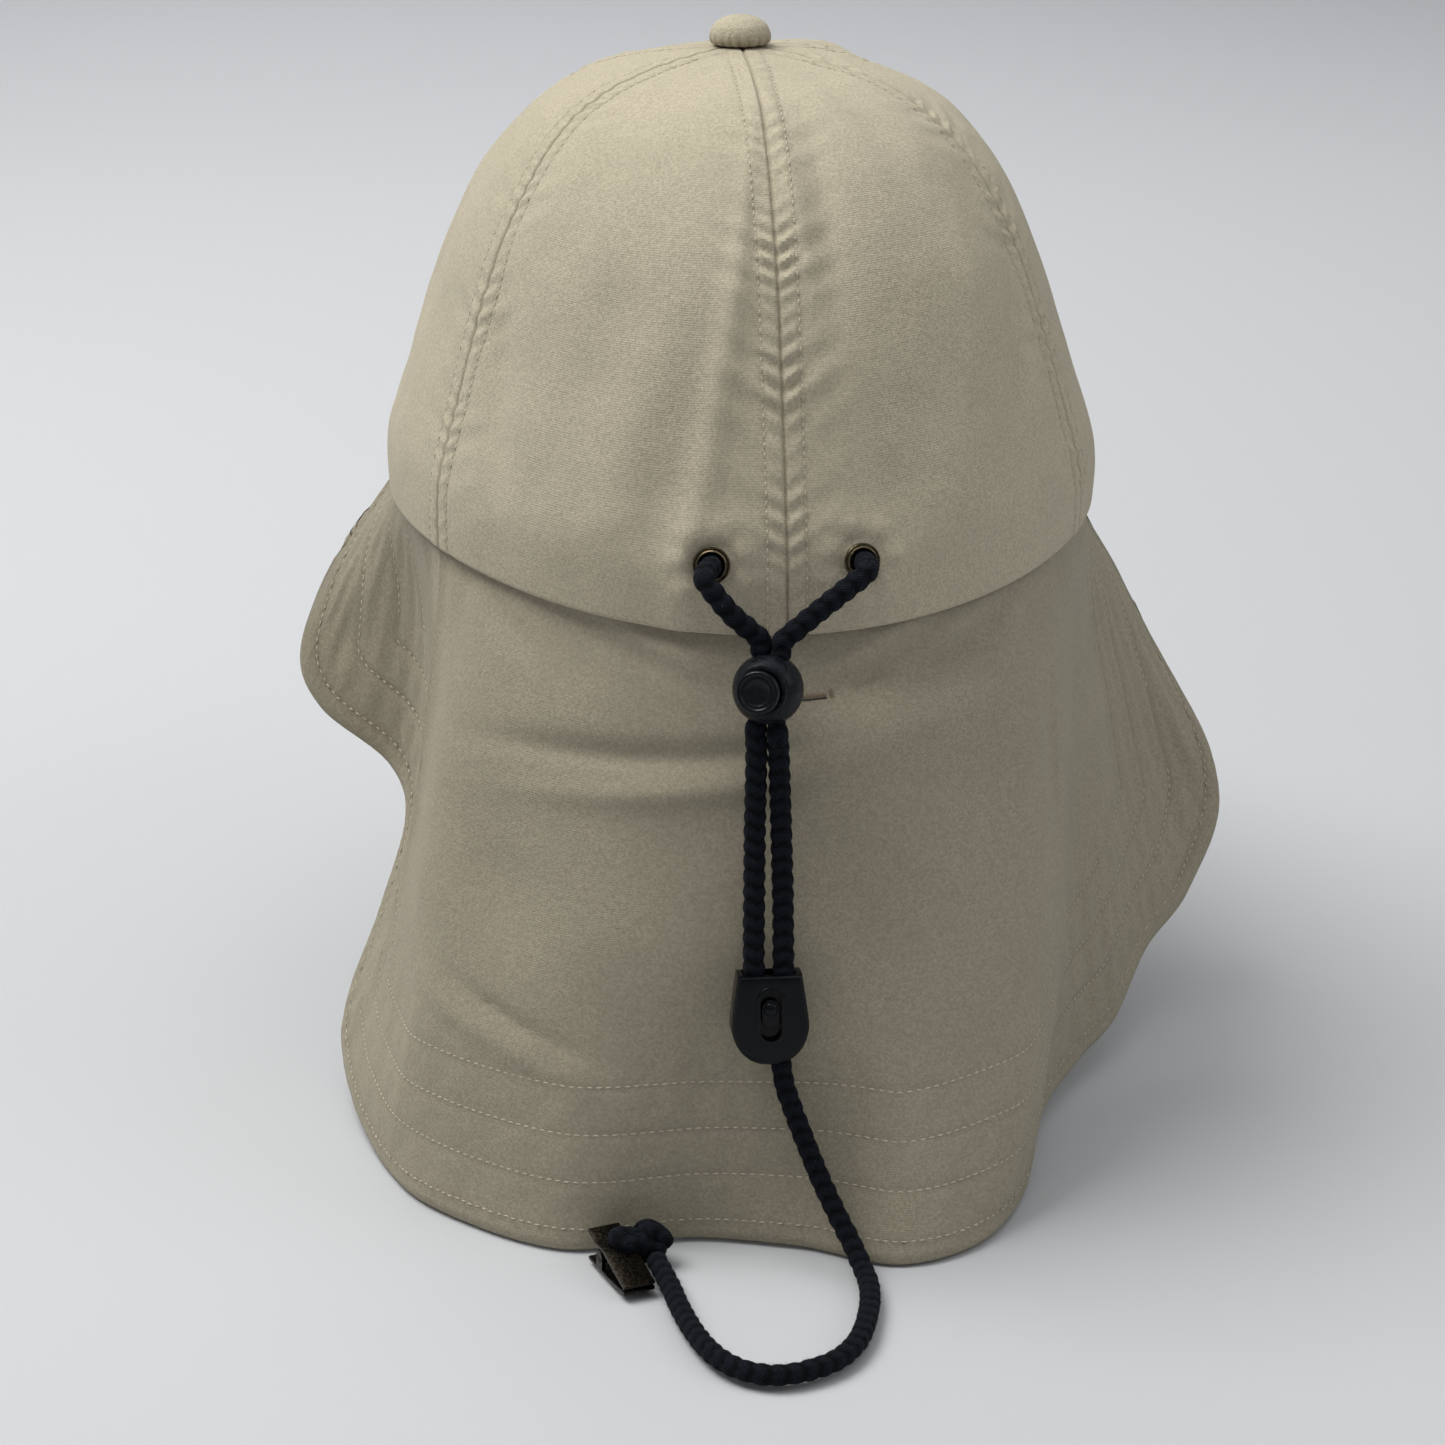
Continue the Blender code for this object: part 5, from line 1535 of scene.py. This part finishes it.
def makeLockButton():
    _, share, apart = lockSqueeze[0]
    width, depth = channelSize(share, apart)
    end = lock["cordDepth"] - depth - lock["web"]
    head = lock["flat"] + lock["travel"] + lock["clearance"]
    top = head + lock["thickness"]
    b, stem = lock["button"], lock["stem"]
    profile = [(0.0, end), (stem - 0.0002, end), (stem, end + 0.0002), (stem, head)]
    profile += [(b - 0.00035, head), (b - 0.0001, head + 0.0001), (b, head + 0.0004)]
    profile += [(b - 0.001 * x, top - 0.001 * z) for x, z in buttonFace] + [(0.0, top - 0.00084)]
    mesh = meshFrom(placeShape(spunShape(profile, 80), lockPlace), "slate_button")
    obj = addPiece("slate_button", mesh, hard["discPlastic"], "lock_button", "lock_button", slotName="slate_plastic")
    low, high = lock["cordDepth"] - depth, lock["cordDepth"] + depth + lock["travel"]
    middle = lockPlace @ Matrix.Translation((0, 0, 0.5 * (low + high)))
    return carve(obj, [("DIFFERENCE", box((2 * width, 4 * stem, high - low), middle))])


lockPiece = makeLock()
lockButtonPiece = makeLockButton()
print("lock made")


# flat clip and its slider
def clipHalf():
    top, side, high = 0.5 * clip["topWidth"], 0.5 * clip["width"], 0.5 * clip["height"]
    points = [(top, high), (0.5 * (top + side) + 0.0002, 0.35 * high), (side, -0.12 * high)]
    for i in range(1, 8):
        angle = 0.5 * math.pi * i / 7
        points.append((side * math.cos(angle) ** 0.9, -high * (0.12 + 0.88 * math.sin(angle))))
    points[-1] = (0.0, -high)
    fine = smoothRows(points, np.linspace(0, 1, 46))
    return [(float(x), float(y)) for x, y in fine]


def slotShape(halfWidth, halfLength, low, high, sides=40):
    outline = []
    for i in range(sides):
        angle = 2 * math.pi * (i + 0.5) / sides
        y = halfWidth * math.sin(angle)
        outline.append((halfWidth * math.cos(angle), y + math.copysign(halfLength - halfWidth, y)))
    return plateShape(outline, low, high)


def roundTop(bm, above, offset):
    return bevelled(bm, [e for e in bm.edges if min(v.co.z for v in e.verts) > above], offset, 3)


def makeClip():
    half = clipHalf()
    t = 0.5 * clip["thickness"]
    bm = plateShape(half + [(-x, y) for x, y in reversed(half[:-1])], -t, t)
    bevelled(bm, levelEdges(bm), clip["edge"], 4)
    mesh = meshFrom(placeShape(bm, clipPlace), "gloss_clip")
    obj = addPiece("gloss_clip", mesh, hard["glossPlastic"], "cap", "cord_clip", slotName="gloss_plastic")
    mouthSize = (clip["mouthWidth"], 2 * clip["mouthDepth"], 2 * cordRadius + 2 * clip["clearance"])
    mouth = box(mouthSize, Matrix.Identity(4))
    bevelled(mouth, mouth.edges[:], clip["mouthEdge"], 3)
    placeShape(mouth, clipPlace @ Matrix.Translation((0, 0.5 * clip["height"], 0)))
    foot = clipPlace @ Matrix.Translation((clip["leashOffset"], -0.5 * clip["height"], 0))
    hole = drum(cordRadius + clip["clearance"], 2 * clip["leashDepth"])
    placeShape(hole, foot @ Matrix.Rotation(0.5 * math.pi, 4, "X"))
    w, l, wider = 0.5 * clip["slotWidth"], 0.5 * clip["slotLength"], clip["rim"]
    middle = clipPlace @ Matrix.Translation((0, clip["slotRise"], 0))
    rim = slotShape(w + wider, l + wider, t - clip["rimFoot"], t + clip["rimRise"])
    placeShape(roundTop(rim, t, clip["rimEdge"]), middle)
    slot = placeShape(slotShape(w, l, t - clip["slotDepth"], t + 0.002), middle)
    return carve(obj, [("UNION", rim), ("DIFFERENCE", mouth), ("DIFFERENCE", hole), ("DIFFERENCE", slot)])


slider = {
    "length": 0.0066, "thickness": 0.0012, "bump": 0.0016, "drop": 0.0022, "edge": 0.0003, "bumpDrop": 0.0022,
    "flatness": 0.65,
}


def makeSlider():
    middle = clip["slotRise"] + 0.5 * clip["slotLength"] - slider["drop"] - 0.5 * slider["length"]
    floor = 0.5 * clip["thickness"] - clip["slotDepth"] + clip["clearance"]
    place = clipPlace @ Matrix.Translation((0, middle, floor))
    halfWidth = 0.5 * clip["slotWidth"] - clip["clearance"]
    bm = slotShape(halfWidth, 0.5 * slider["length"], 0.0, slider["thickness"])
    roundTop(bm, 0.5 * slider["thickness"], slider["edge"])
    mesh = meshFrom(placeShape(bm, place), "gloss_slider")
    obj = addPiece("gloss_slider", mesh, hard["glossPlastic"], "clip_slider", "clip_slider", slotName="gloss_plastic")
    bump = bmesh.new()
    bmesh.ops.create_uvsphere(bump, u_segments=36, v_segments=20, radius=slider["bump"])
    lift = Matrix.Translation((0, 0.5 * slider["length"] - slider["bumpDrop"], slider["thickness"] - slider["edge"]))
    placeShape(bump, place @ lift @ Matrix.Diagonal((1, 1, slider["flatness"], 1)))
    return carve(obj, [("UNION", bump)])


clipPiece = makeClip()
sliderPiece = makeSlider()
print("clip made")


# jaw clip and knot
jaw = {
    "pivot": (-0.0411, -0.1294, -0.1340), "heading": math.radians(19), "width": 0.0074, "plate": 0.0009,
    "mouth": 0.0140, "tail": 0.0062, "tailSpread": 0.0036, "baseDrop": 0.0032, "pin": 0.0007, "lug": 0.0016,
    "lugWall": 0.0008, "pad": 0.0018, "bite": 0.0013, "flatShare": 0.30, "bendShare": 0.80, "edge": 0.00018,
    "pinEdge": 0.00012, "clearance": 0.0003,
}
jawPlace = Matrix.Translation(jaw["pivot"]) @ Matrix.Rotation(math.pi + jaw["heading"], 4, "Z")


def rod(radius, length, at):
    bm = drum(radius, length, 32)
    bevelled(bm, levelEdges(bm), jaw["pinEdge"], 2)
    return placeShape(bm, jawPlace @ Matrix.Translation((at, 0, 0)) @ Matrix.Rotation(0.5 * math.pi, 4, "Y"))


def bentPlate(name, body, node, outline):
    # a strip as wide as the jaw, bent along an outline of length and height, with six steps to each stretch
    half = 0.5 * jaw["width"]
    fine = [(-half, y0 + (y1 - y0) * k / 6, z0 + (z1 - z0) * k / 6)
            for (y0, z0), (y1, z1) in zip(outline, outline[1:]) for k in range(6)]
    bm = bmesh.new()
    verts = [bm.verts.new(co) for co in [*fine, (-half, *outline[-1])]]
    made = bmesh.ops.extrude_edge_only(bm, edges=[bm.edges.new(pair) for pair in zip(verts, verts[1:])])
    bmesh.ops.translate(bm, vec=(2 * half, 0, 0), verts=newVerts(made))
    mesh = meshFrom(placeShape(bm, jawPlace), name)
    obj = addPiece(name, mesh, hard["darkBronze"], body, node, slotName="dark_bronze")
    addWall(obj, jaw["plate"], jaw["edge"], 2, offset=0, even=True, sharp=60)
    return obj


def makeJaws():
    seam = 0.5 * (jaw["plate"] + jaw["clearance"])
    base = -jaw["baseDrop"]
    roof = jaw["lug"] + jaw["clearance"] + 0.5 * jaw["plate"]
    bite = base + jaw["bite"]
    bend, flat = jaw["bendShare"] * jaw["mouth"], jaw["flatShare"] * jaw["mouth"]
    lower = [(-jaw["tail"], base), (flat, base), (bend, bite - jaw["plate"]), (jaw["mouth"], bite - seam)]
    upper = [(-jaw["tail"], jaw["tailSpread"]), (-jaw["pad"], roof), (jaw["pad"], roof)]
    upper += [(bend, bite + 1.5 * jaw["plate"]), (jaw["mouth"], bite + seam)]
    pieces = [
        bentPlate("bronze_lower", "cap", "jaw_lower", lower),
        bentPlate("bronze_upper", "jaw_lever", "jaw_upper", upper),
    ]
    ear = 0.5 * jaw["width"] - 0.5 * jaw["lugWall"]
    tab = ear - jaw["lugWall"] - jaw["clearance"]
    tools = [[("UNION", rod(jaw["pin"], 2 * ear, 0))], []]
    for side in (-1, 1):
        for k, at, end in ((0, side * ear, base), (1, side * tab, roof)):
            lug = box((jaw["lugWall"], 1.98 * jaw["lug"], abs(end)), jawPlace @ Matrix.Translation((at, 0, 0.5 * end)))
            tools[k] += [("UNION", rod(jaw["lug"], jaw["lugWall"], at)), ("UNION", lug)]
    tools[1].append(("DIFFERENCE", rod(jaw["pin"] + jaw["clearance"], 2 * ear, 0)))
    for piece, cuts in zip(pieces, tools):
        carve(piece, cuts)
    return pieces


jawPieces = makeJaws()

knot = {"centre": (-0.0332, -0.1262, -0.1335), "cord": 0.0022, "step": 0.0004}
# the knotted end, in mm from the knot's centre: twice round itself, then a short tail
knotRoute = [
    (0.9, -3.9, -1.2), (0.4, -2.2, -1.3), (-1.6, -0.6, -2.0), (-2.5, 1.4, -0.6), (-1.3, 2.5, 1.6), (0.9, 1.6, 2.4),
    (2.2, -0.6, 1.2), (1.2, -2.2, -0.6), (-1.2, -2.6, 0.9), (-3.9, -2.2, 2.6), (-6.2, -2.6, 3.4), (-7.2, -3.9, 3.2),
    (-6.2, -5.2, 2.6), (-4.2, -4.6, 2.0), (-2.0, -3.0, 1.9), (-0.4, -0.9, 2.9), (1.6, -0.5, 2.5), (3.2, -0.8, 1.0),
    (4.6, -0.8, -0.6),
]


def makeKnot():
    points = evenPoints(np.array(knot["centre"]) + 0.001 * np.array(knotRoute), knot["step"])
    look = {**braid, "around": 40}
    mesh = braidMesh("braid_knot", points, np.full(len(points), knot["cord"]), look=look, seed=21.0)
    return addPiece("braid_knot", mesh, navyBraid, "cap", "leash_knot", slotName="braided_cord")


knotPiece = makeKnot()
print("jaws and knot made")


# floor and light
stageLook = {
    "level": -0.1389, "radius": 6.0, "near": (0.545, 0.557, 0.570), "far": (0.715, 0.725, 0.740), "nearEdge": -0.05,
    "farEdge": 1.3, "roughness": 0.8, "specular": 0.2,
}


def makeFloor():
    look = stageLook
    bm = bmesh.new()
    bmesh.ops.create_circle(bm, cap_ends=True, segments=96, radius=look["radius"])
    mesh = meshFrom(placeShape(bm, Matrix.Translation((0, 0, look["level"]))), "floor")
    obj = bpy.data.objects.new("floor", mesh)
    bpy.context.scene.collection.objects.link(obj)
    made, tree, shader = newFinish("paleFloor", look)
    split = tree.nodes.new("ShaderNodeSeparateXYZ")
    tree.links.new(objectPlace(tree), split.inputs[0])
    # painted light: the floor is painted lighter towards the back, in place of a lit backdrop wall
    deep = stretch(tree, split.outputs[1], look["nearEdge"], look["farEdge"])
    tree.links.new(mixColours(tree, deep, look["near"], look["far"]), shader.inputs["Base Color"])
    mesh.materials.append(made)


lights = {
    # place, target, size, watts, colour
    "key": ((-0.64, 0.05, 1.18), (0.0, 0.0, 0.0), 1.0, 17.0, (1.0, 0.99, 0.97)),
    "overhead": ((-0.1, 0.0, 2.3), (0.0, 0.0, 0.0), 3.0, 18.0, (1.0, 1.0, 1.0)),
    "fill": ((1.15, -0.50, 0.75), (0.0, 0.0, -0.03), 1.0, 3.2, (1.0, 1.0, 1.0)),
    "rear": ((-0.25, 1.9, 1.25), (-0.2, 1.7, -0.14), 1.0, 6.5, (1.0, 1.0, 1.0)),
}
worldLook = {"colour": (0.93, 0.95, 1.0, 1.0), "strength": 0.27}


def addLight(name, place, target, size, power, colour):
    light = bpy.data.lights.new(name, "AREA")
    light.shape = "DISK"
    light.size = size
    light.energy = power
    light.color = colour
    obj = bpy.data.objects.new(name, light)
    bpy.context.scene.collection.objects.link(obj)
    obj.location = place
    obj.rotation_euler = (Vector(target) - Vector(place)).to_track_quat("-Z", "Y").to_euler()


makeFloor()
for name, look in lights.items():
    addLight(name, *look)
world = bpy.data.worlds.new("studio")
world.use_nodes = True
world.node_tree.nodes["Background"].inputs["Color"].default_value = worldLook["colour"]
world.node_tree.nodes["Background"].inputs["Strength"].default_value = worldLook["strength"]
bpy.context.scene.world = world
bpy.context.scene.view_settings.view_transform = "Standard"

print("scene made")
